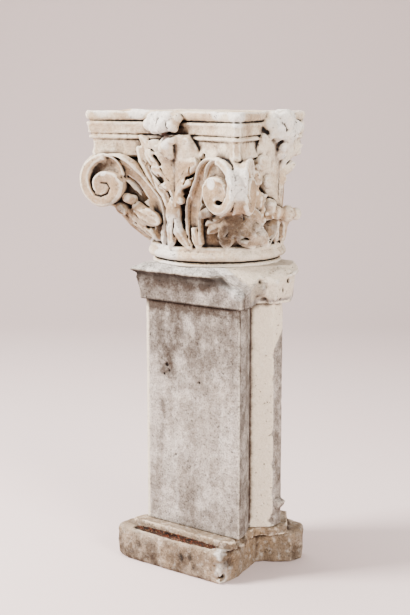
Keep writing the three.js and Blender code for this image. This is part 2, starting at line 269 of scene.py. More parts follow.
    def cloud(self, size, seed, part=None):
        """smooth random values between -1 and 1, with lumps about size across"""
        whole = tuple(slice(0, n) for n in self.shape)
        part = part or whole
        dice = np.random.default_rng(seed)
        cells = [int(n * self.grain / size) + 3 for n in self.shape]
        values = dice.uniform(-1, 1, cells).astype(np.float32)
        for axis, span in enumerate(part):
            spot = np.arange(span.start, span.stop) * self.grain / size
            base = spot.astype(int)
            share = smooth(spot - base).astype(np.float32)
            share = share.reshape([-1 if a == axis else 1 for a in range(3)])
            values = values.take(base, axis) * (1 - share) + values.take(base + 1, axis) * share
        return values

    def weather(self, amount, lumps):
        """roughens the surface by an amount; the lumps are given by height, size and seed"""
        self.depth += amount * sum(height * self.cloud(size, seed) for height, size, seed in lumps)

    def near(self, where, radius):
        """1 at a place, falling to 0 at a distance from it"""
        _, _, (x, y, z) = self.axes()
        away = np.sqrt((x - where[0]) ** 2 + (y - where[1]) ** 2 + (z - where[2]) ** 2)
        return smooth(1.4 * (1 - away / radius)).astype(np.float32)

    def at(self, points, values):
        """values of a grid at points, between the cubes' centres"""
        spot = np.clip(points / self.grain - self.low, 0, np.array(self.shape) - 1.001)
        base = spot.astype(int)
        share = spot - base
        total = np.zeros(len(points))
        for step in np.ndindex(2, 2, 2):
            weight = np.prod([share[:, a] if step[a] else 1 - share[:, a] for a in range(3)], 0)
            total += weight * values[base[:, 0] + step[0], base[:, 1] + step[1], base[:, 2] + step[2]]
        return total

    def crowding(self, reach):
        """how much stone there is around every cube, within about this reach"""
        values = np.clip(0.5 - self.depth / (2 * self.grain), 0, 1)
        half = max(1, int(round(reach / self.grain / 1.7)))
        for _ in range(2):
            for axis in range(3):
                pad = [(half + 1, half) if a == axis else (0, 0) for a in range(3)]
                total = np.pad(values, pad, mode="edge").cumsum(axis, dtype=np.float64)
                count = values.shape[axis]
                ahead = np.take(total, np.arange(2 * half + 1, 2 * half + 1 + count), axis)
                behind = np.take(total, np.arange(0, count), axis)
                values = ((ahead - behind) / (2 * half + 1)).astype(np.float32)
        return values

    def surface(self):
        """the stone's surface as points and triangles"""
        level = vdb.FloatGrid(BAND * self.grain)
        level.copyFromArray(np.ascontiguousarray(self.depth), ijk=tuple(int(v) for v in self.low))
        level.transform = vdb.createLinearTransform(self.grain)
        level.gridClass = vdb.GridClass.LEVEL_SET
        points, quads = level.convertToQuads(isovalue=0.0)
        quads = np.asarray(quads)[:, ::-1]
        return np.asarray(points, float), quads


# ---------------------------------------------------------------- abacus, bell and foot
def abacus():
    rings = []
    steps = 40
    for z, inset in ABACUS_LEVELS:
        half = ABACUS_HALF - inset
        run = half - HORN_CUT
        u = np.linspace(-run, run, steps)
        side = face(u, half - SAGITTA * (1 - (u / run) ** 2), np.full(steps, float(z)))
        rings.append(np.concatenate([turned(side, q) for q in range(4)]))
    return loft(rings)


def bell():
    swell = np.linspace(-0.5, 0.5, 9) * math.pi
    profile = [(CAPITAL_FOOT, 156), (741, 157), (745, 151), (749.5, 151)]
    profile += [(761.5 + 11 * math.sin(a), 156 + 11 * math.cos(a)) for a in swell]
    profile += [(773, 161), (780, 161), (783, 157), (785, 149), (860, 158), (1000, 166)]
    return lathe(profile)


def horn_core():
    """stone that carries a corner's two volutes back to the bell"""
    roof = 996.0
    sections = ((118, 806, 40), (180, 838, 34), (225, 860, 26), (296, 884, 10))
    return loft([
        corner(along, np.array([-half, half, half, -half]), np.array([low, low, roof, roof]))
        for along, low, half in sections])


# ---------------------------------------------------------------- volutes
ALONG = np.array([math.cos(VOLUTE_TURN), -math.sin(VOLUTE_TURN), 0.0])
OUT = np.array([-math.sin(VOLUTE_TURN), -math.cos(VOLUTE_TURN), 0.0])
CENTRE = np.array([EYE_ALONG, -EYE_OUT, EYE_UP])


def on_volute(side, up, rise):
    """a place on the right volute of the front face: towards its horn, up from the eye, out of its plane"""
    side, up, rise = np.broadcast_arrays(np.asarray(side, float), up, rise)
    return CENTRE + side[..., None] * ALONG + rise[..., None] * OUT + up[..., None] * np.array([0, 0, 1.0])


# by the turn from the top towards the horn, in degrees: the coil's edge, the rim's inner edge, the ribbon's
# edge and how deep the channel between them is
COIL_TURN = [0, 45, 90, 135, 180, 225, 270, 300, 330, 360]
COIL_EDGE = [75, 70, 62, 56, 52, 49, 49, 56, 68, 75]
RIM_INNER = [60, 50, 38, 31, 27.5, 25, 49, 56, 66, 70]
RIBBON_EDGE = [29.5, 29, 28, 26, 23.5, 22, 49, 42, 34, 29.5]
CHANNEL_DEPTH = [17, 19, 22, 23, 20, 9, 0, 13, 17, 17]


def volute_front(turn, radius):
    """height of the volute's front at a turn and a distance from its eye"""
    edge, rim, ribbon, depth = (
        np.interp(turn, COIL_TURN, row) for row in (COIL_EDGE, RIM_INNER, RIBBON_EDGE, CHANNEL_DEPTH))
    depth = np.where((turn > 232) & (turn < 275), 0, depth)
    across = np.clip((radius - ribbon) / np.maximum(rim - ribbon, 0.5), -1, 2)
    steep = smooth((radius - ribbon) / 3.5) * smooth((rim - radius) / 5.0 + 0.15)
    hollow = depth * steep * (0.72 + 0.28 * np.sin(math.pi * np.clip(across, 0, 1)))
    rounded = 5.0 * smooth(1 - (edge - radius) / 6.0) ** 2
    fillet = 1.8 * np.exp(-((edge - radius - 6.5) / 1.4) ** 2) * (np.cos(np.radians(turn)) > 0.1)
    dish = 1.5 * np.exp(-(radius / 13.0) ** 2)
    return -hollow - rounded - fillet - dish


def scroll(squeeze=1.0):
    """a volute's coil, from its carved front back to the corner's diagonal plane; worn ones are narrower"""
    turn = np.linspace(0, 360, 120, endpoint=False)
    angle = np.radians(90 - turn)
    edge = np.interp(turn, COIL_TURN, COIL_EDGE)
    shares = np.linspace(1.0, 0.02, 44)
    front = []
    for share in shares:
        radius = edge * share
        side = COIL_EDGE[2] - squeeze * (COIL_EDGE[2] - radius * np.cos(angle))
        front.append(on_volute(side, radius * np.sin(angle), volute_front(turn, radius)))
    rim = front[0]
    to_diagonal = -(rim[:, 0] + rim[:, 1]) / (math.cos(VOLUTE_TURN) + math.sin(VOLUTE_TURN))
    behind = rim - (to_diagonal + 8)[:, None] * OUT
    waist = mix(rim, behind, 0.5)
    waist = mix(waist, waist.mean(0), 0.10)
    return loft([behind, waist, *front])


KNOCKED_BACK = 0.66         # width of the right face's worn volute, against a whole one
# the stem's middle line from the volute down: across, out from the axis, up; and half its width
STEM_COURSE = [
    (165, 229, 974), (134, 222, 974), (116, 208, 959), (97, 190, 934), (75, 179, 905), (57, 170, 882),
    (50, 165, 853), (50, 162, 825), (54, 160, 790),
]
STEM_HALF = [23, 24, 26, 26, 26, 25, 22, 19, 16]


def course(points, count):
    """places and directions along a smooth line through points"""
    points = np.asarray(points, float)
    chord = np.concatenate([[0], np.cumsum(np.linalg.norm(np.diff(points, axis=0), axis=1))])
    fine = np.linspace(0, chord[-1], count * 6)
    line = np.stack([np.interp(fine, chord, points[:, a]) for a in range(3)], 1)
    window = np.ones(9) / 9
    padded = np.vstack([2 * line[0] - line[8:0:-1], line, 2 * line[-1] - line[-2:-10:-1]])
    for _ in range(2):
        padded = np.stack([np.convolve(padded[:, a], window, "same") for a in range(3)], 1)
    soft = padded[8:-8]
    pick = np.linspace(0, len(soft) - 1, count).round().astype(int)
    return soft[pick], unit(np.gradient(soft, axis=0))[pick], pick / (len(soft) - 1)


def stem():
    """the channelled stem that climbs from the bell's foot into a volute"""
    centre, direction, share = course([face(*p) for p in STEM_COURSE], 40)
    out = np.tile(unit(np.array([0.12, -1.0, 0.0])), (len(share), 1))
    sideways = unit(np.cross(out, direction))
    half = np.interp(share, np.linspace(0, 1, len(STEM_HALF)), STEM_HALF)
    across = np.linspace(-1, 1, 25)
    inner_ridge = smooth((share - 0.12) / 0.2)[:, None] * np.exp(-((across - 0.80) / 0.17) ** 2)
    outer_ridge = np.exp(-((across + 0.80) / 0.17) ** 2)
    fall = smooth((np.abs(across) - 0.86) / 0.14) * 6
    reeds = 1.6 * np.exp(-((across - 0.42) / 0.08) ** 2) + 1.2 * np.exp(-((across + 0.30) / 0.1) ** 2)
    floor = mix(-19.0, -11.0, smooth((share - 0.10) / 0.22))[:, None]
    height = floor * (1 - np.clip(inner_ridge + outer_ridge, 0, 1)) - fall + reeds
    width = half[:, None] * across
    front = centre[:, None] + sideways[:, None] * width[..., None]
    front = front + out[:, None] * height[..., None]
    back = centre[:, None] + sideways[:, None] * (width * 0.85)[..., None]
    back = back - out[:, None] * 34.0
    return sheet(front, back)


# ---------------------------------------------------------------- leaves
def lobe(root, tip, outward, width, swell=5.0, roll=0.0, thick=18.0, root_width=0.5, vein=3.0, bend=0.0):
    """one lobe of a leaf: it swells outwards, has a sunk midline and rolls over at its tip"""
    root, tip, outward = (np.asarray(v, float) for v in (root, tip, outward))
    rows = np.linspace(0, 1, 26)
    across = np.linspace(-1, 1, 17)
    run = tip - root
    out = unit(outward)
    side = unit(np.cross(run, out))
    widest = 0.55
    rise = mix(root_width, 1.0, smooth(rows / widest))
    fade = np.maximum(0.0, 1 - np.maximum(0, (rows - widest) / (1 - widest)) ** 2.0)
    half = width / 2 * np.maximum(0.12, np.where(rows < widest, rise, np.sqrt(fade)))
    middle = root + rows[:, None] * run + (bend * np.sin(math.pi * rows))[:, None] * side
    middle = middle + (swell * np.sin(math.pi * np.minimum(1, rows * 1.1)) + roll * rows ** 3)[:, None] * out
    crown = 3.5 - 8.0 * np.abs(across) ** 2.6 - vein * np.exp(-(across / 0.2) ** 2)
    front = middle[:, None] + side * (half[:, None] * across)[..., None] + out * crown[None, :, None]
    back = middle[:, None] + side * (half[:, None] * across * 0.86)[..., None] - out * thick
    return sheet(front, back)


# outline of the face leaf's plate: height, left edge, midrib, right edge
LEAF_PLATE = [
    (878, 2, 9, 19), (892, 0, 9.5, 23), (909, -9, 9, 31), (925, -24, 9, 52), (940, -28, 9, 54),
    (955, -46, 9, 68), (970, -52, 9, 80), (985, -50, 8, 81), (1000, -48, 8, 81), (1014, -44, 7, 78),
    (1030, -28, 5, 68), (1043, -10, 14, 56),
]
RIGHT_PLATE = [
    (878, -10, 3, 15), (913, -40, 3, 22), (939, -66, 3, 30), (963, -78, 3, 52), (991, -84, 3, 60),
    (1015, -88, 3, 74), (1040, -80, 0, 70), (1060, -66, 0, 60),
]
# lobes on the plate: root u and z, tip u and z, how far the tip stands out, width, outward roll
LEAF_LOBES = [
    (12, 985, 60, 1034, 8, 48, 8), (14, 955, 80, 984, 4, 40, 4), (12, 930, 60, 937, 3, 26, 4),
    (6, 985, -40, 1014, 8, 40, 7), (4, 955, -56, 964, 4, 34, 4), (6, 930, -30, 921, 3, 24, 3),
    (-26, 955, -88, 1040, 2, 30, 6), (-36, 1000, -54, 1028, 6, 38, 6), (-40, 960, -70, 1004, 3, 32, 5),
    (10, 900, 34, 888, 0, 20, 2),
]
# drilled holes and sunk lines of a face: two ends (u, z), radii, and how far from the axis the drill stopped
LEAF_HOLES = [
    ((-48, 993), (-31, 973), 5.0, 5.0, 170), ((-34, 948), (-22, 931), 4.5, 4.0, 170),
    ((80, 964), (45, 944), 3.8, 5.2, 168), ((36, 913), (54, 925), 8.0, 5.0, 164),
    ((51, 916), (43, 874), 3.4, 3.0, 168), ((-7, 906), (8, 888), 5.5, 3.0, 166),
    ((-60, 1010), (-40, 1002), 3.0, 3.0, 182), ((-76, 1018), (-60, 960), 2.4, 2.8, 180),
    ((-62, 985), (-44, 940), 2.2, 2.4, 177), ((44, 991), (76, 992), 2.0, 2.2, 186),
    ((55, 988), (55, 962), 1.8, 1.8, 187), ((-6, 977), (6, 968), 2.2, 2.0, 184),
    ((18, 946), (30, 954), 2.0, 2.0, 184), ((-9, 939), (3, 931), 2.6, 2.2, 181),
    ((3, 972), (5, 900), 1.8, 2.0, 183), ((15, 975), (13, 898), 1.8, 2.0, 183),
    ((88, 986), (96, 996), 6.0, 7.0, 176),
]
LEAF_RIB = [
    (-91, 186, 1009), (-85, 184, 981), (-67, 178, 947), (-47, 174, 922), (-29, 170, 904), (-15, 168, 872),
]


def leaf_plate(outline, bulge=1.0):
    """the broad sheet that a face leaf's lobes lie on, hollowed along its midrib"""
    outline = np.asarray(outline, float)
    z = np.linspace(outline[0, 0], outline[-1, 0], 40)
    left, middle, right = (np.interp(z, outline[:, 0], outline[:, i]) for i in (1, 2, 3))
    across = np.linspace(-1, 1, 33)
    reach = np.where(across < 0, (middle - left)[:, None], (right - middle)[:, None])
    u = middle[:, None] + reach * across
    lean = 12 * smooth((z - 960) / 80)
    crown = 6 * np.sin(math.pi * np.abs(across)) - 5 * np.abs(across) ** 3
    out = LEAF_OUT - 2 + lean[:, None] + bulge * crown[None, :]
    return sheet(face(u, out, z[:, None]), face(u * 0.92, np.full_like(out, 150.0), z[:, None]))


def face_rod(block, ends, radii, side, blend=3.0, add=True, rough=0.0):
    """a rounded ridge or hollow between two places of a face"""
    work = block.bead if add else block.gouge
    work([turned(end, *side) for end in ends], radii, blend, rough, 13.0, seed=int(ends[0][2]))


def face_leaf(block, side, plate=LEAF_PLATE, lobes=LEAF_LOBES):
    """the leaf in the middle of a face"""
    block.add(leaf_plate(plate), side, blend=3)
    for u0, z0, u1, z1, out, width, roll in lobes:
        root, tip = face(u0, LEAF_OUT - 6, z0), face(u1, LEAF_OUT + out, z1)
        outward = face(0.2 * np.sign(u1), 1, 0)
        block.add(lobe(root, tip, outward, width, roll=roll, thick=24, vein=2.5), side, blend=3)
    # the middle lobe's rolled tip
    face_rod(block, (face(-10, 196, 1012), face(16, 198, 1031)), (11, 10), side, 7)
    face_rod(block, (face(0, 184, 1000), face(4, 190, 1012)), (14, 12), side, 8)


def leaf_rib(block, side):
    """the reeded rib down a face leaf's left side, beside the stem"""
    rib = [face(*spot) for spot in LEAF_RIB]
    for a, b in zip(rib, rib[1:]):
        face_rod(block, (a, b), 6, side, 2)
        offset = np.array([7.5, 3.0, 3.0])
        face_rod(block, (a + offset, b + offset), 4, side, 1)


def face_holes(block, side, holes=LEAF_HOLES):
    for (u0, z0), (u1, z1), ra, rb, out in holes:
        for lift in (0, 8, 16, 24):
            ends = (face(u0, out + lift, z0), face(u1, out + lift, z1))
            face_rod(block, ends, (ra, rb), side, 1.5, add=False)


# lobes of a face leaf's stalk: root and tip as u, out, z; width; swell; thickness; root's width; vein; bend
STALK_LOBES = [
    ((4, 172, 900), (0, 176, 832), 40, 6, 34, 0.7, 0, 0),
    ((-4, 176, 862), (-20, 162, 778), 27, 6, 26, 0.9, 2, -6),
    ((4, 176, 862), (40, 160, 779), 27, 4, 24, 0.9, 2, 8),
    ((-36, 160, 830), (-44, 152, 780), 20, 3, 24, 0.7, 2, 0),
    ((52, 162, 830), (58, 152, 780), 20, 3, 24, 0.7, 2, 0),
]


def face_stalk(block, side):
    """the leaf's short stalk, which parts in two over the foot of the bell"""
    lift = face(0, 1, 0)
    for root, tip, width, swell, thick, root_width, vein, bend in STALK_LOBES:
        piece = lobe(
            face(*root), face(*tip), lift, width, swell=swell, thick=thick, root_width=root_width,
            vein=vein, bend=bend)
        block.add(piece, side, blend=4)


# worn rosette on the middle of an abacus side: u, z, out, radius of each lump
BOSS_LUMPS = [
    (-56, 1066, 186, 16), (-38, 1058, 188, 14), (-44, 1080, 188, 15), (-18, 1056, 194, 15),
    (-4, 1066, 200, 19), (18, 1062, 196, 16), (26, 1080, 190, 14), (-16, 1084, 194, 17), (8, 1085, 196, 14),
    (-30, 1070, 194, 14),
]


def boss(block, side):
    for u, z, out, radius in BOSS_LUMPS:
        block.bead([turned(face(u, out, z), *side)], radius, 5)
    for u0, u1, z in ((-34, -26, 1064), (-10, -14, 1076), (10, 14, 1070)):
        block.gouge(turned([face(u0, 211, z + 8), face(u1, 209, z - 12)], *side), (2.2, 2.6), 2)
    block.gouge(turned([face(-30, 199, 1041), face(16, 199, 1043)], *side), (7, 8), 3)


# lobes of a corner's hanging leaf: root and tip as along, across, height; width; outward; roll
NEAR_LOBES = [
    ((240, 0, 876), (168, -4, 784), 50, (0.67, 0, -0.74), 2),
    ((226, -6, 862), (176, -50, 841), 28, (0.6, -0.5, -0.6), 4),
    ((220, -8, 852), (170, -46, 820), 26, (0.6, -0.4, -0.65), 3),
    ((234, -8, 874), (204, -30, 858), 20, (0.6, -0.5, -0.4), 3),
    ((222, 8, 850), (164, 62, 784), 46, (0.67, 0.3, -0.65), 3),
    ((220, 30, 850), (158, 96, 790), 40, (0.5, 0.6, -0.55), 3),
    ((232, 30, 884), (184, 70, 836), 42, (0.6, 0.5, -0.5), 4),
    ((238, 2, 876), (196, 16, 826), 40, (0.67, 0.1, -0.7), 3),
]
# holes drilled into it: two ends across and up, radius, and how far along the drill stopped
NEAR_HOLES = [
    ((-29, 812), (-25, 806), 7, 160), ((28, 817), (44, 812), 6, 156), ((56, 831), (78, 827), 4.5, 158),
    ((-40, 856), (-46, 858), 4, 176),
]
LEFT_LOBES = [
    ((246, 0, 872), (164, -4, 786), 50, (0.67, 0, -0.74), 1),
    ((226, -22, 868), (184, -50, 818), 32, (0.6, -0.5, -0.6), 2),
    ((212, -36, 866), (158, -64, 798), 30, (0.5, -0.6, -0.5), 2),
    ((222, 8, 850), (164, 56, 790), 44, (0.67, 0.3, -0.65), 2),
    ((226, 8, 862), (182, 76, 822), 40, (0.6, 0.45, -0.6), 3),
    ((206, -52, 866), (152, -98, 836), 38, (0.5, -0.85, -0.1), 3),
    ((250, -6, 880), (226, -34, 852), 30, (0.6, -0.4, -0.5), 2),
]
LEFT_HOLES = [
    ((-62, 830), (-84, 814), 6, 150), ((-34, 842), (-46, 836), 3.5, 176), ((30, 816), (44, 812), 6, 156),
]


def corner_leaf(block, lobes, holes, side):
    """the leaf that hangs from under a corner's volutes down the slope to the foot of the bell"""
    for root, tip, width, outward, roll in lobes:
        root, tip, outward = corner(*root), corner(*tip), corner(*outward)
        block.add(lobe(root, tip, outward, width, swell=6, roll=roll, thick=26), side, blend=2.5)
    for (c0, z0), (c1, z1), radius, along in holes:
        for lift in (0, 12, 24, 36):
            ends = (corner(along + lift, c0, z0 - lift * 0.2), corner(along + lift, c1, z1 - lift * 0.2))
            face_rod(block, ends, radius, side, 1.5, add=False)


def crocket(block, side):
    """small leaf tip that curls over in two round lumps, between the side leaf and the back"""
    for u, out, z, radius in ((7, 199, 858, 19), (42, 198, 856, 15), (30, 184, 864, 13), (-14, 184, 862, 16)):
        block.bead([turned(face(u, out, z), *side)], radius, 3)
    root, tip, outward = face(40, 156, 790), face(46, 178, 866), face(0.2, 1, 0)
    block.add(lobe(root, tip, outward, 52, swell=2, roll=8, thick=26, root_width=0.8, vein=0), side, blend=4)


def volute_hollow(block, side):
    """the deep slot between a volute and its stem, with a round lump and the leaf's arm under it"""
    slot = [on_volute(-45, 20, -12), face(108, 192, 926), face(89, 180, 892)]
    for a, b, ra, rb in zip(slot, slot[1:], (4.5, 6.5), (6.5, 8.0)):
        for sink in (-10, 0, 10, 20, 30, 40, 50):
            shift = np.array([-0.15 * sink, sink, 0.0])
            face_rod(block, (a + shift, b + shift), (ra, rb), side, 1.5, add=False)
    face_rod(block, (face(128, 186, 893), face(122, 172, 886)), (11, 13), side, 3, rough=1.5)
    face_rod(block, (face(108, 172, 872), face(88, 170, 864)), (13, 10), side, 2, rough=1.5)
    face_rod(block, (face(112, 190, 886), face(108, 176, 878)), 3, side, 1, add=False)
    face_rod(block, (face(96, 186, 884), face(80, 180, 872)), (4, 5), side, 1, add=False)


def capital_stone():
    grain = 2.1
    block = Block((-246, -246, CAPITAL_FOOT), (246, BACK, TOP), grain)
    block.add(abacus())
    block.add(bell(), blend=2)
    core, coil, rib = horn_core(), scroll(), stem()
    # the corners that the back does not cut off: near right, near left
    for side, lobes, holes in ((FRONT, NEAR_LOBES, NEAR_HOLES), (FRONT_MIRRORED, LEFT_LOBES, LEFT_HOLES)):
        block.add(core, side, blend=6)
        corner_leaf(block, lobes, holes, side)
    for side in (FRONT, FRONT_MIRRORED, LEFT):
        block.add(coil, side, blend=2)
        block.add(rib, side, blend=2)
        volute_hollow(block, side)
    block.add(scroll(KNOCKED_BACK), RIGHT_MIRRORED, blend=3)
    for side in (FRONT, RIGHT, LEFT_MIRRORED):
        face_stalk(block, side)
        if side == RIGHT:
            worn_leaf(block)
        else:
            leaf_rib(block, side)
            face_leaf(block, side)
            face_holes(block, side)
        boss(block, side)
    crocket(block, RIGHT)
    crocket(block, LEFT_MIRRORED)
    break_capital(block)
    weather_capital(block)
    block.trim(CAPITAL_FOOT, TOP)
    return block


WORN_LOBES = [
    (0, 985, -80, 1042, 6, 44, 8), (0, 955, -86, 990, 4, 44, 4), (0, 930, -62, 940, 3, 36, 4),
    (4, 985, 80, 1016, 4, 36, 8), (4, 960, 56, 972, 3, 40, 6), (4, 935, 30, 940, 0, 30, 3),
]
WORN_HOLES = [
    ((-76, 921), (-66, 914), 9.0, 7.0, 160), ((14, 966), (50, 983), 3.0, 3.5, 176),
    ((-127, 903), (-120, 898), 7.0, 7.0, 170), ((-126, 977), (-124, 960), 4.5, 5.5, 190),
    ((-40, 985), (-20, 950), 2.5, 2.5, 184), ((4, 985), (5, 905), 2.0, 2.0, 182),
    ((-92, 832), (-84, 828), 5.0, 5.0, 150), ((-14, 842), (-14, 800), 12.0, 13.0, 158),
]

# what the stem beside it has worn down to: two ends (u, out, z) and the radii there
WORN_STEM = [
    ((-110, 180, 960), (-84, 172, 900), (15, 16)), ((-84, 172, 900), (-62, 164, 850), (16, 15)),
    ((-62, 176, 897), (-52, 174, 903), (9, 9)), ((-118, 205, 972), (-100, 192, 946), (4, 5)),
    ((-84, 170, 880), (-100, 168, 850), (14, 12)), ((-30, 176, 880), (-24, 170, 860), (16, 16)),
]


def worn_leaf(block):
    """the right face's leaf, weathered to a pale mass, with the broken stem beside it"""
    face_leaf(block, RIGHT, RIGHT_PLATE, WORN_LOBES)
    for a, b, radii in WORN_STEM:
        face_rod(block, (face(*a), face(*b)), radii, RIGHT, 5, rough=6.0)
    face_holes(block, RIGHT, WORN_HOLES)


# lines and holes cut into the near corner's leaf, along its diagonal, across it and up, each with its radius
CORNER_CUTS = [
    ([(207, -34, 838), (207, -24, 820), (201, -26, 800)], 3.0),
    ([(214, 3, 862), (210, -4, 838), (196, -9, 806)], 2.4),
    ([(206, 18, 850), (202, 10, 828), (190, 15, 802)], 3.0), ([(190, 27, 815), (178, 43, 813)], 8.0),
    ([(192, 56, 828), (184, 72, 831)], 6.0), ([(232, 10, 870), (222, 38, 867)], 5.0),
    ([(186, 24, 786), (184, 39, 782), (182, 65, 782), (178, 86, 788)], 2.4),
    ([(212, -52, 832), (208, -34, 840)], 3.0),
]
# cuts into the right face: two ends and a radius
RIGHT_CUTS = [
    ((202, -146, 948), (196, -140, 908), 7), ((196, -140, 904), (186, -134, 896), 9),
    ((190, -86, 925), (178, -60, 912), 6), ((188, -68, 900), (180, -44, 894), 4),
    ((166, 16, 826), (160, 36, 794), 13),
]
# the abacus: chips out of the front's top edge (u, z, radius), and the lumps and chips (y, z, radius) of the
# right face, which is knocked back into one rough mass
TOP_CHIPS = [(150, 1112, 17), (96, 1112, 16), (-8, 1106, 11), (-60, 1108, 9), (-190, 1110, 14)]
ROUGH_LUMPS = [(-34, 1050, 22), (4, 1046, 24), (40, 1056, 22), (-4, 1076, 24)]
ROUGH_CHIPS = [(-58, 1098, 13), (-20, 1104, 13), (34, 1102, 13), (76, 1052, 9)]
MORTAR = [(-150, 172, 1089), (-112, 166, 1092), (-70, 165, 1089)]    # a rough bead on top, near its left end


def break_capital(block):
    """the near volute's knocked-off eye, the worn diagonal band and the broken top edge above them"""
    block.gouge([on_volute(14, 8, 12), on_volute(16, -16, 6)], (20, 17), 4, rough=3, seed=5)
    block.gouge([on_volute(2, -24, -6), on_volute(12, -28, -12)], (6, 7), 3)
    comma = turned(on_volute(*np.array(EYE_COMMA).T), *FRONT_MIRRORED)
    for line, radius in [(comma, 2.6)] + [(face(*np.array(vein).T), 2.2) for vein in LEAF_VEINS]:
        for a, b in zip(line, line[1:]):
            for sink in (-4, 0, 4):
                shift = np.array([0, sink, 0])
                block.gouge([a + shift, b + shift], radius, 1.5)
    face_rod(block, (corner(262, 30, 902), corner(258, 32, 884)), (15, 14), FRONT, 5)
    face_rod(block, (corner(262, 22, 866), corner(250, 44, 864)), 4.5, FRONT, 2, add=False)
    for way, radius in CORNER_CUTS:
        block.furrow(corner(*np.array(way, float).T), radius, 2, rough=0.8, size=8, seed=3)
    for a, b, radius in RIGHT_CUTS:
        block.gouge([a, b], radius, 3, rough=1.5, size=9, seed=radius)
    block.gouge([corner(334, -4, 985), corner(336, 6, 900)], 17, 5, rough=3, seed=6)
    block.gouge([corner(318, -10, TOP + 6), corner(306, 26, TOP + 4)], (17, 13), 4, rough=3, seed=7)
    block.keep(block.of_plane((0, 0, TOP - 4.5), (0, 0, 1), rough=1.0, size=30, seed=8))
    for a, b in zip(MORTAR, MORTAR[1:]):
        block.bead([face(*a), face(*b)], (8, 9), 4, rough=2.0, size=11, seed=9)
    for u, z, radius in TOP_CHIPS:
        block.gouge([face(u, 196, z)], radius, 4, rough=3, seed=u + 400)
    for y, z, radius in ROUGH_LUMPS:
        block.bead([(192, y, z)], radius, 8, rough=6, size=15, seed=y + 950)
    for y, z, radius in ROUGH_CHIPS:
        block.gouge([(206, y, z)], radius, 8, rough=5, seed=y + 900)


def weather_capital(block):
    """edges rounded and pitted by the weather, more on the right face and round the broken places"""
    soft = 0.4 + 0.9 * block.near((190, 0, 1060), 130) + 0.6 * block.near((0, -200, 1075), 80)
    soft = soft + 0.9 * block.near(corner(330, 0, 940), 70) + 0.6 * block.near((0, -170, 815), 70)
    block.weather(soft, ((1.5, 19, 11), (1.1, 8.5, 12), (0.8, 4.6, 13)))


# ---------------------------------------------------------------- pier stub and base
PIER_MID = 37.0
PIER_FRONT = 150.0
PIER_BACK = BACK + PIER_FRONT
PIER_HALF = 140.4
STRIP_HALF = 150.0
RETURN = [(PIER_HALF, 0), (139, 3), (136, 24), (131, 40), (125, 54), (117, 70), (107, 86)]
STRIP_BACK = 162.0          # the strip ends here, and a narrower tail goes on to the back
TAIL_HALF = 88.0
HALF_PLAN = RETURN + [
    (STRIP_HALF, 123), (STRIP_HALF, STRIP_BACK), (TAIL_HALF, STRIP_BACK), (TAIL_HALF, PIER_BACK),
]
CAP_PLAN = [
    (PIER_HALF, 0), (138, 24), (130, 54), (120, 84), (158, 112), (160, 150), (156, 172), (118, PIER_BACK),
]
CAP_LEVELS = [
    (PIER_TOP, 8), (651, 9), (675, 11), (693, 14), (702, 16), (707, 15), (711, 15), (716, 21), (720, 25),
    (724, 25), (737, 10), (742, 6),
]


def pier_point(across, back, z):
    return place(PIER_MID + np.asarray(across, float), np.asarray(back, float) - PIER_FRONT, z)


def pier_plan(half, margin, z):
    """the whole plan, grown outwards by a margin everywhere but at the back"""
    half = np.asarray(half, float)
    loop = np.vstack([half, (half * [-1, 1])[::-1]])
    before, after = np.roll(loop, 1, 0), np.roll(loop, -1, 0)
    na = unit(np.stack([loop[:, 1] - before[:, 1], before[:, 0] - loop[:, 0]], 1))
    nb = unit(np.stack([after[:, 1] - loop[:, 1], loop[:, 0] - after[:, 0]], 1))
    grow = (na + nb) * (margin / (1 + (na * nb).sum(1)))[:, None]
    grown = loop + grow
    return pier_point(grown[:, 0], np.minimum(PIER_BACK, grown[:, 1]), z)


def pier_stone():
    grain = 2.9
    low, high = (np.array(c) * 1000 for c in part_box("pedestal_shaft"))
    block = Block(low, high, grain)
    block.add(loft([pier_plan(HALF_PLAN, 0, z) for z in (80, 300, 500, PIER_TOP + 6)]))
    block.add(loft([pier_plan(CAP_PLAN, margin, z) for z, margin in CAP_LEVELS]), blend=2)
    ledge = [
        [(STRIP_HALF - 10, 126), (STRIP_HALF + out, 132), (STRIP_HALF + out, 156), (STRIP_HALF - 10, 160)]
        for out in (-4, 3, 13, 17, 2)]
    heights = (134, 139, 150, 161, 167)
    block.add(loft([pier_point(*np.array(row).T, z) for row, z in zip(ledge, heights)]), blend=3)
    break_pier(block)
    weather_pier(block)
    block.trim(BASE_TOP + BED_GAP, CAPITAL_FOOT - BED_GAP)
    return block


# places on the pier are across its front from the middle, back from its front, and up
CAP_BREAKS = [
    ((162, 10, 742), (168, 110, 744), 22), ((176, 100, 742), (190, 168, 742), 19),
    ((196, 110, 704), (192, 168, 690), 13), ((186, 150, 664), (182, 120, 654), 13),
    ((150, 60, 664), (140, 90, 655), 9),
]
STRIP_CHIPS = [(598, 8), (520, 6), (455, 9), (330, 7), (250, 9), (180, 7), (112, 16)]    # height and radius
FRONT_PITS = [(-76, 494, 7), (-70, 480, 5.5), (-84, 470, 4), (-128, 560, 3.5), (22, 462, 4), (-50, 275, 3.5)]
# remnants of carving on the right end of the cap: lumps (back, height, radius) and slots (back, height)
CAP_LUMPS = [(118, 700, 17), (134, 716, 18), (150, 694, 16), (160, 718, 17), (128, 676, 15), (84, 690, 16)]
CAP_SLOTS = [(128, 690), (146, 708), (158, 694), (152, 724)]
SMALL_CHIPS = 26            # along the pier's two front arrises


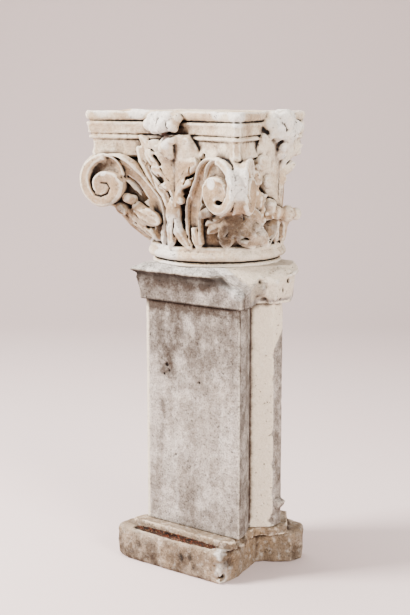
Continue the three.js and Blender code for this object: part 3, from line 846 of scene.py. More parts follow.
def break_pier(block):
    """the cap's lip is knocked off along the front and the near corner, and the arrises are chipped"""
    lip = (pier_point(-100, -26, 723), pier_point(100, -26, 723), pier_point(0, -4, 735))
    block.cut(block.beyond(*lip, rough=1.6, size=24, seed=21), 2)
    chip = (pier_point(66, -27, 722), pier_point(151, -10, 681), pier_point(160, 66, 702))
    block.cut(block.beyond(*chip, rough=1.6, size=20, seed=22), 2)
    for a, b, radius in CAP_BREAKS:
        block.gouge([pier_point(*a), pier_point(*b)], radius, 8, rough=6.0, size=17, seed=a[1] + 60)
    dice = np.random.default_rng(31)
    for _ in range(SMALL_CHIPS):
        z = dice.uniform(110, 640)
        side = dice.choice([-1, 1])
        radius = dice.uniform(3.0, 7.0)
        spot = pier_point(side * (PIER_HALF + radius * 0.62), -radius * 0.62, z)
        end = spot + np.array([0, 0, dice.uniform(2, 16)])
        block.gouge([spot, end], (radius, radius * 0.8), 2, rough=1.5, size=9, seed=int(z))
    for z, radius in STRIP_CHIPS:
        spot = pier_point(STRIP_HALF + radius * 0.4, 121 - radius * 0.3, z)
        block.gouge([spot, spot + (0, 0, 10)], radius, 3, rough=3, size=12, seed=z)
    for across, z, radius in FRONT_PITS:
        block.gouge([pier_point(across, 1.0 - radius * 0.2, z)], radius, 2, rough=1.5, size=7, seed=z)
    for back, z, radius in CAP_LUMPS:
        spot = pier_point(154 if back > 100 else 138, back, z)
        block.bead([spot], radius, 8, rough=6, size=14, seed=back)
    for back in range(92, 172, 16):
        ends = [pier_point(186, back, 720), pier_point(174, back + 13, 666)]
        block.gouge(ends, (5, 4), 3, rough=2, size=9, seed=back)
        spot = pier_point(150 + 0.18 * back, back, 650)
        block.gouge([spot], 12, 5, rough=6, size=11, seed=back + 1)
    for back, z in CAP_SLOTS:
        spot = pier_point(176, back, z)
        block.gouge([spot, spot + (-6, 6, -12)], (5, 3.5), 3, rough=2, size=9, seed=back)


def weather_pier(block):
    lip, end = pier_point(0, -10, 728), pier_point(160, 170, 700)
    rough = 0.35 + 0.9 * block.near(lip, 60) + 0.8 * block.near(end, 90)
    _, _, (_, _, z) = block.axes()
    rough = rough + 0.8 * smooth((z - 690) / 30)
    block.weather(rough, ((1.4, 24, 41), (1.0, 9, 42)))


# worn base block: outline on the ground and, for each of its points, where it meets the pier's foot
BASE_PLAN = np.array([
    (96, -53, 110, -28), (122, -50, 134, -22), (129, -16, 150, 4), (131, 14, 142, 30), (118, 67, 130, 62),
    (108, 116, 118, 92), (122, 133, 136, 106), (145, 143, 152, 116), (176, 168, 160, 128),
    (184, 205, 162, 172), (162, PIER_BACK, 112, PIER_BACK), (-162, PIER_BACK, -112, PIER_BACK),
    (-184, 205, -162, 172), (-176, 160, -160, 128), (-150, 116, -134, 106), (-146, 84, -118, 92),
    (-176, 46, -142, 30), (-210, 6, -160, 4), (-213, -26, -164, -22), (-196, -44, -156, -28),
    (-170, -53, -140, -28),
], float)
PLINTH_TOP = 76.9
GROOVE = [(-146, -33, 79), (-20, -33, 79), (88, -33, 79)]    # between the plinth and the step above it
# chips out of the base: across, back, height, radius
BASE_CHIPS = [
    (134, -50, 84, 22), (142, -20, 56, 13), (120, -58, 44, 11), (-210, -42, 82, 16), (60, -60, 82, 9),
    (-40, -62, 80, 8), (-120, -60, 74, 9), (150, 62, 92, 28), (142, 88, 60, 24), (118, -40, 12, 9),
    (146, 4, 92, 14), (178, 150, 100, 20), (190, 190, 98, 24), (176, 236, 98, 26), (188, 170, 8, 8),
]


def base_ring(z, towards_pier, inset=0.0):
    across = mix(BASE_PLAN[:, 0], BASE_PLAN[:, 2], towards_pier) * (1 - inset / 200)
    back = mix(BASE_PLAN[:, 1], BASE_PLAN[:, 3], towards_pier)
    back = np.where(back == PIER_BACK, back, back + inset)
    return pier_point(across, back, z)


def base_stone():
    grain = 2.4
    low, high = (np.array(c) * 1000 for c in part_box("pedestal_base"))
    block = Block(low, high, grain)
    block.add(loft([
        base_ring(0, 0, 5), base_ring(8, 0, 1), base_ring(30, 0), base_ring(64, 0), base_ring(72, 0, 2),
        base_ring(PLINTH_TOP, 0, 7), base_ring(PLINTH_TOP + 2, 0.45, 2), base_ring(PLINTH_TOP + 3, 1),
        base_ring(BASE_TOP - 4, 1), base_ring(BASE_TOP, 1, 3)]))
    block.furrow(pier_point(*np.array(GROOVE, float).T), (6, 6.5), 3, rough=2.5, size=14, seed=51)
    for across, back, z, radius in BASE_CHIPS:
        block.gouge([pier_point(across, back, z)], radius, 8, rough=4, size=13, seed=across + 300)
    near_corner, right_side = pier_point(130, -40, 60), pier_point(150, 60, 60)
    rough = 0.7 + 1.1 * block.near(near_corner, 70) + 0.8 * block.near(right_side, 60)
    block.weather(rough, ((1.8, 26, 61), (1.2, 10, 62), (0.7, 5.2, 63)))
    block.trim(0, BASE_TOP)
    return block


# ---------------------------------------------------------------- from stone to mesh
HOLLOW_REACH = {"hollow_fine": 6.0, "hollow_deep": 18.0}    # how far around a place its hollowness is taken
FLAT = 0.5                  # hollowness of a flat face, used on the whole flat back


def stone_piece(name, block, node, limit, marks):
    """a mesh of the block inside its CAD box, with how hollow, broken and stained it is at every point, and
    where shade and highlights are painted
    """
    points, quads = block.surface()
    mesh = bpy.data.meshes.new(name)
    mesh.vertices.add(len(points))
    mesh.vertices.foreach_set("co", (points / 1000).astype(np.float32).ravel())
    mesh.loops.add(quads.size)
    mesh.loops.foreach_set("vertex_index", quads.ravel().astype(np.int32))
    mesh.polygons.add(len(quads))
    mesh.polygons.foreach_set("loop_start", np.arange(len(quads), dtype=np.int32) * 4)
    mesh.update(calc_edges=True)
    piece = bpy.data.objects.new(name, mesh)
    bpy.context.scene.collection.objects.link(piece)
    thin = piece.modifiers.new("thin", "DECIMATE")
    thin.ratio = min(1.0, limit / (2 * len(quads)))
    graph = bpy.context.evaluated_depsgraph_get()
    mesh = bpy.data.meshes.new_from_object(piece.evaluated_get(graph))
    mesh.name = name
    mesh.validate()
    piece.modifiers.clear()
    piece.data = mesh
    co = np.empty(len(mesh.vertices) * 3, np.float32)
    mesh.vertices.foreach_get("co", co)
    co = co.reshape(-1, 3)
    low, high = (np.array(c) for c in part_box(node))
    co = np.clip(co, low, high)
    mesh.vertices.foreach_set("co", co.astype(np.float32).ravel())
    points = co * 1000.0
    flat_back = points[:, 1] > BACK - 1.5
    hollows = {
        attribute: np.where(flat_back, FLAT, block.at(points, block.crowding(reach)))
        for attribute, reach in HOLLOW_REACH.items()}
    for attribute, values in {**hollows, **marks(points)}.items():
        mesh.attributes.new(attribute, "FLOAT", "POINT").data.foreach_set("value", values.astype(np.float32))
    mesh.polygons.foreach_set("use_smooth", np.ones(len(mesh.polygons), bool))
    mesh.update()
    return piece


def spots(points, places):
    """how near each point is to any of some places, each with its radius and its strength"""
    values = np.zeros(len(points))
    for where, radius, strength in places:
        away = np.linalg.norm(points - np.asarray(where, float), axis=1)
        values = np.maximum(values, strength * smooth(1.5 * (1 - away / radius)))
    return values


def near_lines(points, lines, radius):
    """how near each point is to any of some lines drawn on the stone"""
    away = np.full(len(points), 1e3)
    for line in lines:
        for a, b in zip(line, line[1:]):
            run = b - a
            t = np.clip((points - a) @ run / (run @ run), 0, 1)
            across = points - a - t[:, None] * run
            across[:, 1] *= 0.2
            away = np.minimum(away, np.linalg.norm(across, axis=1))
    return smooth(1.6 * (1 - away / radius))


# lines drawn into the leaf, in its face's own measures, and the end of the coil on a volute's eye
LEAF_VEINS = [
    [(-3, 190, 990), (2, 190, 960), (8, 188, 930), (12, 186, 900)],
    [(30, 190, 985), (24, 188, 955), (16, 186, 925)], [(42, 188, 962), (30, 188, 945), (18, 186, 930)],
    [(-28, 186, 965), (-16, 188, 948), (2, 188, 925)], [(-36, 184, 930), (-20, 186, 918), (2, 186, 902)],
    [(10, 180, 850), (2, 176, 820), (-2, 168, 790)], [(28, 180, 845), (34, 172, 815), (40, 164, 788)],
    [(-8, 178, 842), (-22, 172, 815), (-28, 164, 785)], [(-70, 186, 975), (-58, 184, 945), (-40, 182, 900)],
    [(60, 186, 970), (52, 184, 950), (40, 184, 930)],
]
EYE_COMMA = [(30, -14, 2), (22, -24, 2), (8, -27, 2), (-9, -20, 2), (-15, -7, 2), (-8, 4, 2), (6, 5, 2)]

# painted shade: the heights of dark lines in the grooves between the abacus's mouldings
MOULDING_SHADE_LINES = (1030, 1042, 1073)      # heights of the dark lines between the abacus's mouldings


def capital_marks(points):
    # the fresh white marks are breaks, and also painted highlights on the top edge of the left volute's eye
    # and on the middle leaf's rolled tip
    left_eye = turned(on_volute(0, 29, 0), *FRONT_MIRRORED)
    fresh_break_and_highlight = [
        (face(-17, 205, 1066), 62, 1.0), (corner(312, 2, 1096), 48, 1.0), (corner(330, -4, 962), 40, 1.0),
        (corner(330, 0, 925), 36, 0.8), (on_volute(-14, 16, 0), 20, 1.0), (face(3, 200, 1022), 20, 0.9),
        (left_eye, 12, 0.9), ((205, -4, 1075), 105, 0.62), ((200, 10, 1010), 80, 0.45),
        (face(0, 176, 835), 46, 0.55), (face(-35, 165, 765), 62, 0.9), (face(-95, 178, 1100), 40, 1.0),
        (face(150, 205, 1100), 40, 0.6), (face(-180, 215, 1100), 40, 0.5), (face(-40, 160, 800), 40, 0.4),
        ((186, 44, 855), 40, 0.45),
    ]
    # painted shade: dark spots under the volutes, over the corner leaves that hang in the shade beneath them,
    # and in the groove under the boss
    stain_and_shade = [
        (corner(202, 0, 842), 104, 0.85), (corner(190, 60, 815), 60, 0.5),
        (on_volute(-20, -20, -14), 40, 0.6), (on_volute(-95, -50, -20), 50, 0.7),
        (turned(on_volute(-30, -50, -20), *FRONT_MIRRORED), 40, 0.5),
        (turned(corner(190, -40, 830), *FRONT_MIRRORED), 70, 0.35), (face(-6, 190, 1040), 26, 1.0),
    ]
    rust = [
        (face(-6, 190, 1042), 22, 0.7), ((195, 5, 905), 26, 0.8), (face(9, 186, 935), 40, 0.35),
        ((176, 30, 900), 22, 0.5),
    ]
    height = points[:, 2]
    outside = np.hypot(points[:, 0], points[:, 1])
    sheltered = smooth((992 - height) / 14) * smooth((height - 780) / 14)
    white = spots(points, fresh_break_and_highlight)
    plain = (height > 1020) * (1 - smooth(white * 2)) * (np.hypot(points[:, 0] - 205, points[:, 1]) > 80)
    # painted shade: dark lines in the grooves between the abacus's mouldings, along the carved leaf veins and
    # round the coil's end on the left volute's eye
    shade_line = sum(smooth((3.4 - np.abs(height - level)) / 2) for level in MOULDING_SHADE_LINES) * plain * 0.35
    veins = [face(*np.array(vein).T) for vein in LEAF_VEINS]
    comma = turned(on_volute(*np.array(EYE_COMMA).T), *FRONT_MIRRORED)
    shade_line = np.maximum(shade_line, 0.9 * near_lines(points, veins, 2.6))
    shade_line = np.maximum(shade_line, near_lines(points, [comma], 3.2))
    tan = sheltered * (1 - 0.9 * spots(points, [((200, 10, 950), 120, 1.0), (corner(330, 0, 945), 70, 1.0)]))
    tan = tan * mix(1.0, 0.6, smooth((outside - 150) / 60) * (height < 850))
    return {
        "fresh_break_and_highlight": white, "stain_and_shade": spots(points, stain_and_shade), "rust": spots(points, rust),
        "tan": tan, "cream": 0 * height, "shade_line": shade_line,
    }


def pier_marks(points):
    across = points[:, 0] - PIER_MID
    back = points[:, 1] + PIER_FRONT
    z = points[:, 2]
    front = back < 8
    lip = smooth((z - 721) / 4) * smooth((40 - back) / 20)
    chip = spots(points, [(pier_point(138, -16, 700), 44, 0.9), (pier_point(104, -24, 718), 40, 0.9)])
    rough_end = smooth((z - 655) / 12) * smooth((back - 20) / 20) * (across > 60)
    splay = smooth((back - 86) / 5) * smooth((166 - back) / 6) * (across > 90) * (z < 655)
    dark = np.exp(-(((across + 55) / 38) ** 2 + ((z - 570) / 70) ** 2)) * front
    streak = np.exp(-((across + 92 + 6 * np.sin(z / 33)) / 9) ** 2) * front
    streak = streak * smooth((430 - z) / 20) * smooth((z - 250) / 60)
    pitted = spots(points, [(pier_point(-76, 0, 492), 36, 1.0)])
    brown = smooth((back - 122) / 5) * smooth((575 - z - 1.2 * (150 - back)) / 12) * (across > 90)
    side = smooth((back - 2) / 4) * smooth((92 - back) / 6) * (across > 90) * (z < 705)
    edge = smooth((-across - 126) / 8) * front * (z < 650)
    # painted shade: a darker band under the cap's lip, and a darker band on the shaft just under the cap's
    # foot, both added to the pier's stains
    shade_under_lip = smooth((z - 672) / 40) * smooth((721 - z) / 3) * smooth((4 - back) / 8)
    shade_under_lip = shade_under_lip * smooth((132 - across) / 16)
    shade = smooth((z - 618) / 24) * smooth((651 - z) / 3) * smooth((8 - back) / 4)
    field = front * (0.46 * smooth((z - 380) / 190) + 0.3 * smooth((280 - z) / 120) + 0.1) * (1 - edge)
    stain_and_shade = field + 0.4 * dark + 0.5 * streak + 0.5 * pitted + 0.5 * brown
    stain_and_shade = stain_and_shade + 0.6 * side + 1.1 * shade_under_lip + 0.7 * shade
    return {
        "fresh_break_and_highlight": np.clip(np.maximum(lip * 0.85, chip) + 0.30 * rough_end + 0.12 * edge, 0, 1),
        "stain_and_shade": np.clip(stain_and_shade, 0, 1), "rust": 0.16 * brown + 0.1 * side,
        "tan": 0.6 * rough_end + 0.35 * brown,
        "cream": np.clip(0.95 * splay * (1 - brown) + 0.75 * edge + 0.6 * rough_end, 0, 1),
        # painted shade: a dark line along the cap's step over the shaft, and under the lip
        "shade_line": np.maximum(smooth((2.5 - np.abs(z - 651)) / 2) * (back < 110), 0.72 * shade_under_lip),
    }


def base_marks(points):
    across = points[:, 0] - PIER_MID
    back = points[:, 1] + PIER_FRONT
    z = points[:, 2]
    wide = 8.5 * np.sqrt(np.clip(1 - ((across + 26) / 128) ** 2, 0, 1))
    climb = (back + 50) * 0.33 + z - 77
    groove = smooth((wide - np.abs(climb - 9)) / 2.5) * (back < -20)
    corner_break = spots(points, [(pier_point(124, -48, 80), 36, 0.6), (pier_point(128, -40, 30), 52, 0.45)])
    stain_and_shade = spots(points, [
        (pier_point(-190, -40, 42), 50, 0.7), (pier_point(-110, -54, 14), 90, 0.8),
        (pier_point(20, -54, 10), 90, 0.6), (pier_point(40, -54, 50), 26, 0.6),
        (pier_point(-30, -54, 66), 20, 0.5), (pier_point(126, -20, 62), 44, 0.8),
        (pier_point(142, 10, 88), 40, 0.8), (pier_point(186, 190, 20), 50, 0.6)])
    hollow = spots(points, [(pier_point(128, 92, 60), 84, 0.9), (pier_point(124, -30, 40), 64, 0.9)])
    # painted highlight: the plinth's top face made lighter, as if lit from above, in the white and cream
    # marks
    top = smooth((z - 70) / 5) * smooth((84 - z) / 3) * smooth((-14 - back) / 10)
    return {
        "fresh_break_and_highlight": np.maximum(corner_break, 0.15 * top), "stain_and_shade": np.maximum(stain_and_shade, 0.7 * groove),
        "rust": groove, "tan": hollow, "cream": 0.3 * top, "shade_line": 0 * z,
    }


# ---------------------------------------------------------------- stone
SHARE = 0.64                # how much of its display colour a stone sends back, under lights as much brighter
SHELTERED_TAN = (200, 172, 138)
RUN_OFF = (104, 88, 74)
WASHED = (252, 246, 238)
CREAM = (250, 236, 216)
# white of fresh breaks and of painted highlights
WHITE_BREAK_AND_HIGHLIGHT = (252, 247, 240)
BROWN_SPECKLE = (92, 74, 58)
DARK_SPECKLE = (70, 58, 48)
# colour of the stains, and of painted shade under the volutes, the boss and the pier's cap
SOIL_AND_SHADE = (84, 66, 50)
# brown of the deep hollows and black of the fine creases: partly dirt, partly painted shade
BROWN_HOLLOW_DIRT_AND_SHADE = (86, 60, 38)
BLACK_CREASE_DIRT_AND_SHADE = (30, 20, 13)
# colour of the painted shade lines in grooves and under steps
DARK_SHADE_LINE = (58, 44, 32)
RUST = (104, 60, 32)
DARK_PIT = (50, 38, 28)
CRUMB_EARTH = (64, 48, 36)
CRUMB_MOSS = (150, 84, 44)
CRUMB_GRIT = (176, 150, 112)


def tint(red, green, blue):
    """a display colour, 0 to 255, as the shader takes it in this studio's bright light"""
    return tuple(SHARE * ((c / 255 + 0.055) / 1.055) ** 3.3 for c in (red, green, blue)) + (1.0,)


def operator(operation, reflected=False):
    """a method that works out a wire with another value, or the other value with the wire"""
    def worked(self, other):
        return self.maths(operation, other, self) if reflected else self.maths(operation, self, other)
    return worked


class Wire:
    """one value or colour in a material, with arithmetic"""

    def __init__(self, tree, socket):
        self.tree = tree
        self.socket = socket

    def made(self, kind, inputs, output=0, **settings):
        node = self.tree.nodes.new(kind)
        for key, value in settings.items():
            setattr(node, key, value)
        for key, value in inputs.items():
            if isinstance(value, Wire):
                self.tree.links.new(value.socket, node.inputs[key])
            else:
                node.inputs[key].default_value = value
        return Wire(self.tree, node.outputs[output])

    def maths(self, operation, first, second):
        return self.made("ShaderNodeMath", {0: first, 1: second}, operation=operation)

    __add__, __radd__ = operator("ADD"), operator("ADD", True)
    __sub__, __rsub__ = operator("SUBTRACT"), operator("SUBTRACT", True)
    __mul__, __rmul__ = operator("MULTIPLY"), operator("MULTIPLY", True)

    def most(self, other):
        return self.maths("MAXIMUM", self, other)

    def step(self, low, high):
        """0 below low, 1 above high, smooth between"""
        return self.made("ShaderNodeMapRange", {"Value": self, "From Min": low, "From Max": high},
                         interpolation_type="SMOOTHSTEP")

    def painted(self, colour, amount):
        """this colour, covered with another by an amount"""
        return self.made("ShaderNodeMix", {0: amount, 6: self, 7: colour}, 2, data_type="RGBA")

    def stretched(self, x, y, z):
        return self.made("ShaderNodeVectorMath", {0: self, 1: (x, y, z)}, operation="MULTIPLY")

    def noise(self, scale, detail=4.0, roughness=0.55, lift=0.0):
        """this place's random value; a second pattern has another lift"""
        spot = self.made("ShaderNodeVectorMath", {0: self, 1: (lift, lift * 0.7, -lift)}, operation="ADD")
        grain = {"Vector": spot, "Scale": scale, "Detail": detail, "Roughness": roughness}
        return self.made("ShaderNodeTexNoise", grain)

    def cells(self, scale, lift=0.0):
        spot = self.made("ShaderNodeVectorMath", {0: self, 1: (lift, -lift, lift)}, operation="ADD")
        return self.made("ShaderNodeTexVoronoi", {"Vector": spot, "Scale": scale})


def plain_material(name):
    """a new material, its node tree, its shader and its object coordinates"""
    material = bpy.data.materials.new(name)
    material.use_nodes = True
    tree = material.node_tree
    where = Wire(tree, tree.nodes.new("ShaderNodeTexCoord").outputs["Object"])
    return material, tree, tree.nodes["Principled BSDF"], where


def stone_material(name, pale, warm, grey, speckle, greyness, streaky, hollow_dirt_and_shade, edge):
    """weathered stone: pale and warm patches, grey patina, brown hollows and dark creases that are partly
    dirt and partly painted shade, soil with painted shade, painted shade lines, white breaks with some
    painted highlights, rust and pits
    """
    material, tree, shader, where = plain_material(name)
    shader.inputs["Specular IOR Level"].default_value = 0.2

    def mark(attribute):
        return where.made("ShaderNodeAttribute", {}, 2, attribute_name=attribute)

    patches = where.noise(9.0, 5.0, 0.6)
    blots = where.noise(28.0, 6.0, 0.65, lift=3.1)
    mottle = where.noise(70.0, 5.0, 0.7, lift=7.7)
    grains = where.noise(230.0, 3.0, 0.7, lift=1.7)
    sand = where.noise(620.0, 2.0, 0.6, lift=5.3)
    pits = where.cells(95.0, lift=2.2)
    fine, deep = mark("hollow_fine"), mark("hollow_deep")
    fresh_break_and_highlight, stain_and_shade, rust = mark("fresh_break_and_highlight"), mark("stain_and_shade"), mark("rust")
    tan, cream, shade_line = mark("tan"), mark("cream"), mark("shade_line")
    streaks = where.stretched(1.0, 1.0, 0.12).noise(30.0, 5.0, 0.6, lift=9.1)
    uneven = (blots - 0.5) * 0.5 + (mottle - 0.5) * 0.5

    worn = (0.475 - fine).step(0.0, 0.13)
    patina = (blots * 0.6 + patches * 0.5).step(0.62 - 0.25 * greyness, 0.80 - 0.25 * greyness) * greyness
    patina = patina.most((deep + uneven * 0.25).step(0.50, 0.60) * 0.8)
    # white breaks, with painted highlights on a few edges
    broken = (fresh_break_and_highlight * 1.3 + uneven * 1.3 + (grains - 0.5) * 0.5 - (fine - 0.5) * 1.6).step(0.40, 0.95)
    quiet = 1.0 - cream * 0.75
    # stains, and painted shade under the volutes, the boss and the pier's cap
    soiled_and_shaded = stain_and_shade * (0.7 + 0.5 * blots.step(0.34, 0.62)) + (uneven + (grains - 0.5) * 0.6) * 0.4
    # fine creases darkened: partly dirt, partly painted shade
    line = (fine + uneven * 0.12 + (grains - 0.5) * 0.06).step(0.54, 0.66)
    pit = (0.22 - pits).step(0.0, 0.12) * blots.step(0.45, 0.6)
    layers = (
        (warm, (patches + uneven * 0.5).step(0.40, 0.64)),
        (SHELTERED_TAN, (tan + uneven * 0.9).step(0.1, 1.1) * tan.step(0.0, 0.2) * 0.85),
        (grey, patina * (1.0 - worn * 0.7)),
        (RUN_OFF, streaks.step(0.44, 0.72) * (streaky * 0.75)),
        (WASHED, (1.0 - streaks).step(0.50, 0.70) * (streaky * 0.6)),
        (CREAM, (cream + uneven * 0.7).step(0.20, 0.7) * cream.step(0.0, 0.2) * 0.92),
        (edge, (worn + uneven * 0.5).step(0.15, 0.9) * 0.75),
        # white breaks, with painted highlights on a few edges
        (WHITE_BREAK_AND_HIGHLIGHT, broken * fresh_break_and_highlight.step(0.0, 0.3) * 0.85),
        (BROWN_SPECKLE, (mottle + uneven * 0.3).step(0.47, 0.80) * (speckle * 0.5) * quiet),
        (DARK_SPECKLE, grains.step(0.44, 0.72) * (speckle * 0.9) * quiet),
        (WASHED, (1.0 - mottle).step(0.50, 0.74) * 0.3),
        # stains and painted shade
        (SOIL_AND_SHADE, soiled_and_shaded.step(0.0, 1.2) * stain_and_shade.step(0.0, 0.25) * 0.9),
        # deep hollows and fine creases darkened: partly dirt, partly painted shade
        (BROWN_HOLLOW_DIRT_AND_SHADE, (deep + uneven * 0.20).step(0.535, 0.69) * hollow_dirt_and_shade),
        (BLACK_CREASE_DIRT_AND_SHADE, line * hollow_dirt_and_shade),
        # painted shade lines in grooves and under steps
        (DARK_SHADE_LINE, shade_line.step(0.2, 0.8) * (0.9 - mottle * 0.4)),
        (RUST, (rust + uneven * 1.2).step(0.25, 0.7) * rust.step(0.0, 0.2) * 0.75),
        (DARK_PIT, pit * 0.6),
    )
    colour = where.made("ShaderNodeRGB", {})
    colour.socket.default_value = tint(*pale)
    for paint, amount in layers:
        colour = colour.painted(tint(*paint), amount)
    tree.links.new(colour.socket, shader.inputs["Base Color"])
    rough = 0.86 + grains * 0.12
    tree.links.new(rough.socket, shader.inputs["Roughness"])
    height = grains * 0.6 + sand * 0.3 + mottle * 1.2 + blots * 0.9 - pit * 1.6
    bump = where.made("ShaderNodeBump", {"Height": height, "Distance": 0.0027, "Strength": 0.85})
    tree.links.new(bump.socket, shader.inputs["Normal"])
    return material


def crumb_material():
    material, tree, shader, where = plain_material("groove_crumbs")
    shader.inputs["Roughness"].default_value = 0.95
    colour = where.made("ShaderNodeRGB", {})
    colour.socket.default_value = tint(*CRUMB_EARTH)
    colour = colour.painted(tint(*CRUMB_MOSS), where.noise(130.0, 3.0).step(0.50, 0.62))
    colour = colour.painted(tint(*CRUMB_GRIT), where.noise(240.0, 2.0, lift=4.0).step(0.60, 0.68))
    tree.links.new(colour.socket, shader.inputs["Base Color"])
    return material


CRUMB_DENSITY = 160000.0    # to a square metre, where the rust mark is full
CRUMB_RADIUS = 0.0016
CRUMB_SEED = 5
FULL_TURN = 6.28


def scatter_crumbs(piece, density, size, material, seed):
    """grit and dry moss on a piece, where its rust mark says so"""
    tree = bpy.data.node_groups.new("crumbs", "GeometryNodeTree")
    tree.interface.new_socket("Stone", in_out="INPUT", socket_type="NodeSocketGeometry")
    kinds = {"Density": "NodeSocketFloat", "Size": "NodeSocketFloat", "Seed": "NodeSocketInt"}
    sockets = {
        name: tree.interface.new_socket(name, in_out="INPUT", socket_type=kind).identifier
        for name, kind in kinds.items()}
    tree.interface.new_socket("Stone", in_out="OUTPUT", socket_type="NodeSocketGeometry")

    def made(kind, **settings):
        node = tree.nodes.new(kind)
        for key, value in settings.items():
            setattr(node, key, value)
        return node

    given, result = made("NodeGroupInput"), made("NodeGroupOutput")
    mark = made("GeometryNodeInputNamedAttribute", data_type="FLOAT")
    mark.inputs["Name"].default_value = "rust"
    amount = made("ShaderNodeMath", operation="MULTIPLY")
    points = made("GeometryNodeDistributePointsOnFaces")
    crumb = made("GeometryNodeMeshIcoSphere")
    crumb.inputs["Subdivisions"].default_value = 1
    spin = made("FunctionNodeRandomValue", data_type="FLOAT_VECTOR")
    spin.inputs["Max"].default_value = (FULL_TURN, FULL_TURN, FULL_TURN)
    scale = made("FunctionNodeRandomValue", data_type="FLOAT_VECTOR")
    scale.inputs["Min"].default_value = (0.4, 0.4, 0.3)
    scale.inputs["Max"].default_value = (1.5, 1.1, 0.9)
    instances, real = made("GeometryNodeInstanceOnPoints"), made("GeometryNodeRealizeInstances")
    painted, joined = made("GeometryNodeSetMaterial"), made("GeometryNodeJoinGeometry")
    painted.inputs["Material"].default_value = material
    for start, end in (
            (given.outputs["Stone"], points.inputs["Mesh"]), (mark.outputs["Attribute"], amount.inputs[0]),
            (given.outputs["Density"], amount.inputs[1]), (amount.outputs[0], points.inputs["Density"]),
            (given.outputs["Seed"], points.inputs["Seed"]), (given.outputs["Size"], crumb.inputs["Radius"]),
            (points.outputs["Points"], instances.inputs["Points"]),
            (crumb.outputs["Mesh"], instances.inputs["Instance"]),
            (spin.outputs["Value"], instances.inputs["Rotation"]),
            (scale.outputs["Value"], instances.inputs["Scale"]),
            (instances.outputs["Instances"], real.inputs["Geometry"]),
            (real.outputs["Geometry"], painted.inputs["Geometry"]),
            (painted.outputs["Geometry"], joined.inputs["Geometry"]),
            (given.outputs["Stone"], joined.inputs["Geometry"]),
            (joined.outputs["Geometry"], result.inputs["Stone"])):
        tree.links.new(start, end)
    scatter = piece.modifiers.new("crumbs", "NODES")
    scatter.node_group = tree
    for name, value in (("Density", density), ("Size", size), ("Seed", seed)):
        scatter[sockets[name]] = value
    graph = bpy.context.evaluated_depsgraph_get()
    mesh = bpy.data.meshes.new_from_object(piece.evaluated_get(graph))
    piece.modifiers.clear()
    piece.data = mesh


MATERIALS = {
    "carved_stone": dict(
        pale=(246, 232, 212), warm=(230, 206, 176), grey=(172, 156, 140),
        speckle=0.35, greyness=0.5, streaky=0.15, hollow_dirt_and_shade=0.95, edge=(252, 242, 228)),
    "pier_stone": dict(
        pale=(222, 212, 203), warm=(212, 200, 188), grey=(178, 168, 160),
        speckle=0.75, greyness=0.7, streaky=0.45, hollow_dirt_and_shade=0.85, edge=(242, 232, 218)),
    "base_stone": dict(
        pale=(206, 188, 168), warm=(184, 162, 136), grey=(146, 130, 114),
        speckle=0.7, greyness=0.7, streaky=0.1, hollow_dirt_and_shade=0.9, edge=(242, 224, 202)),
}
PIECES = [
    ("capital_stone", "capital", capital_stone, 190000, capital_marks, "carved_stone"),
    ("shaft_stone", "pedestal_shaft", pier_stone, 120000, pier_marks, "pier_stone"),
    ("foot_stone", "pedestal_base", base_stone, 90000, base_marks, "base_stone"),
]
for name, node, make, limit, marks, slot in PIECES:
    piece = stone_piece(name, make(), node, limit, marks)
    piece.data.materials.append(stone_material(slot, **MATERIALS[slot]))
    if slot == "base_stone":
        scatter_crumbs(piece, CRUMB_DENSITY, CRUMB_RADIUS, crumb_material(), CRUMB_SEED)
    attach(piece, "root")
    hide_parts(node)


# ---------------------------------------------------------------- stage, lights and camera
# paper sweep behind the object, in metres: a floor, a round cove and a wall
SWEEP_NEAR, SWEEP_FAR = -9.0, 3.0
SWEEP_COVE = 2.2
SWEEP_TOP = 9.0
SWEEP_HALF = 12.0
SWEEP_TURN = math.radians(36.93)
SWEEP_SINK = 0.0005         # keeps the paper just under the object
PAPER = (0.530, 0.426, 0.406, 1)


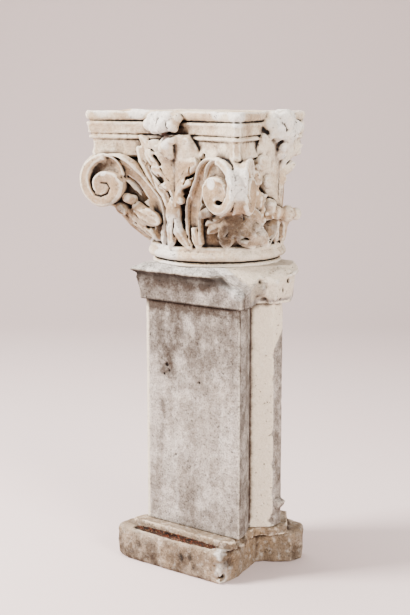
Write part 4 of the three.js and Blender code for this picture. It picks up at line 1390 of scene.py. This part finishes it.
def studio():
    bend = np.linspace(0.05, math.pi / 2, 24)
    profile = [(SWEEP_NEAR, 0.0), (SWEEP_FAR, 0.0)]
    profile += [(SWEEP_FAR + SWEEP_COVE * math.sin(a), SWEEP_COVE - SWEEP_COVE * math.cos(a)) for a in bend]
    profile += [(SWEEP_FAR + SWEEP_COVE, SWEEP_TOP)]
    away = np.array([-math.sin(SWEEP_TURN), math.cos(SWEEP_TURN)])
    side = np.array([math.cos(SWEEP_TURN), math.sin(SWEEP_TURN)])
    points = []
    for along, z in profile:
        for across in (-SWEEP_HALF, SWEEP_HALF):
            spot = away * along + side * across
            points.append((spot[0], spot[1], z - SWEEP_SINK))
    faces = [(2 * i, 2 * i + 1, 2 * i + 3, 2 * i + 2) for i in range(len(profile) - 1)]
    mesh = bpy.data.meshes.new("studio")
    mesh.from_pydata(points, [], faces)
    mesh.polygons.foreach_set("use_smooth", np.ones(len(faces), bool))
    floor = bpy.data.objects.new("studio", mesh)
    bpy.context.scene.collection.objects.link(floor)
    material = bpy.data.materials.new("studio_paper")
    material.use_nodes = True
    shader = material.node_tree.nodes["Principled BSDF"]
    shader.inputs["Base Color"].default_value = PAPER
    shader.inputs["Roughness"].default_value = 0.95
    mesh.materials.append(material)


def soft_light(name, where, towards, size, power, colour):
    lamp = bpy.data.lights.new(name, "AREA")
    lamp.shape = "RECTANGLE"
    lamp.size, lamp.size_y = size
    lamp.energy = power
    lamp.color = colour
    light = bpy.data.objects.new(name, lamp)
    light.location = where
    light.rotation_euler = (Vector(towards) - Vector(where)).to_track_quat("-Z", "Y").to_euler()
    bpy.context.scene.collection.objects.link(light)


studio()
# name, place, aimed at, size in metres, power in watts, colour
for light_setting in (
        ("window_left", (-2.4, -2.6, 2.9), (0, 0, 0.7), (1.3, 1.3), 890, (1.0, 0.97, 0.94)),
        ("fill_right", (3.4, -1.2, 1.8), (0, 0, 0.7), (1.5, 1.8), 330, (1.0, 0.96, 0.92)),
        ("overhead", (-0.9, -0.1, 3.5), (0, 0, 0.5), (2.2, 2.2), 185, (1.0, 0.98, 0.97))):
    soft_light(*light_setting)
world = bpy.data.worlds.new("room")
bpy.context.scene.world = world
world.use_nodes = True
room_light = world.node_tree.nodes["Background"].inputs
room_light["Color"].default_value = (1.0, 0.99, 0.99, 1)
room_light["Strength"].default_value = 0.54

CAMERA_PLACE = (1.8198, -2.4209, 1.1415)
CAMERA_TILT, CAMERA_TURN = math.radians(80.16), math.radians(37.50)
camera_data = bpy.data.cameras.new("camera")
camera_data.lens = 73.11
camera_data.sensor_width = 36.0
camera = bpy.data.objects.new("camera", camera_data)
camera.location = CAMERA_PLACE
camera.rotation_euler = Euler((CAMERA_TILT, 0, CAMERA_TURN))
bpy.context.scene.collection.objects.link(camera)
bpy.context.scene.camera = camera
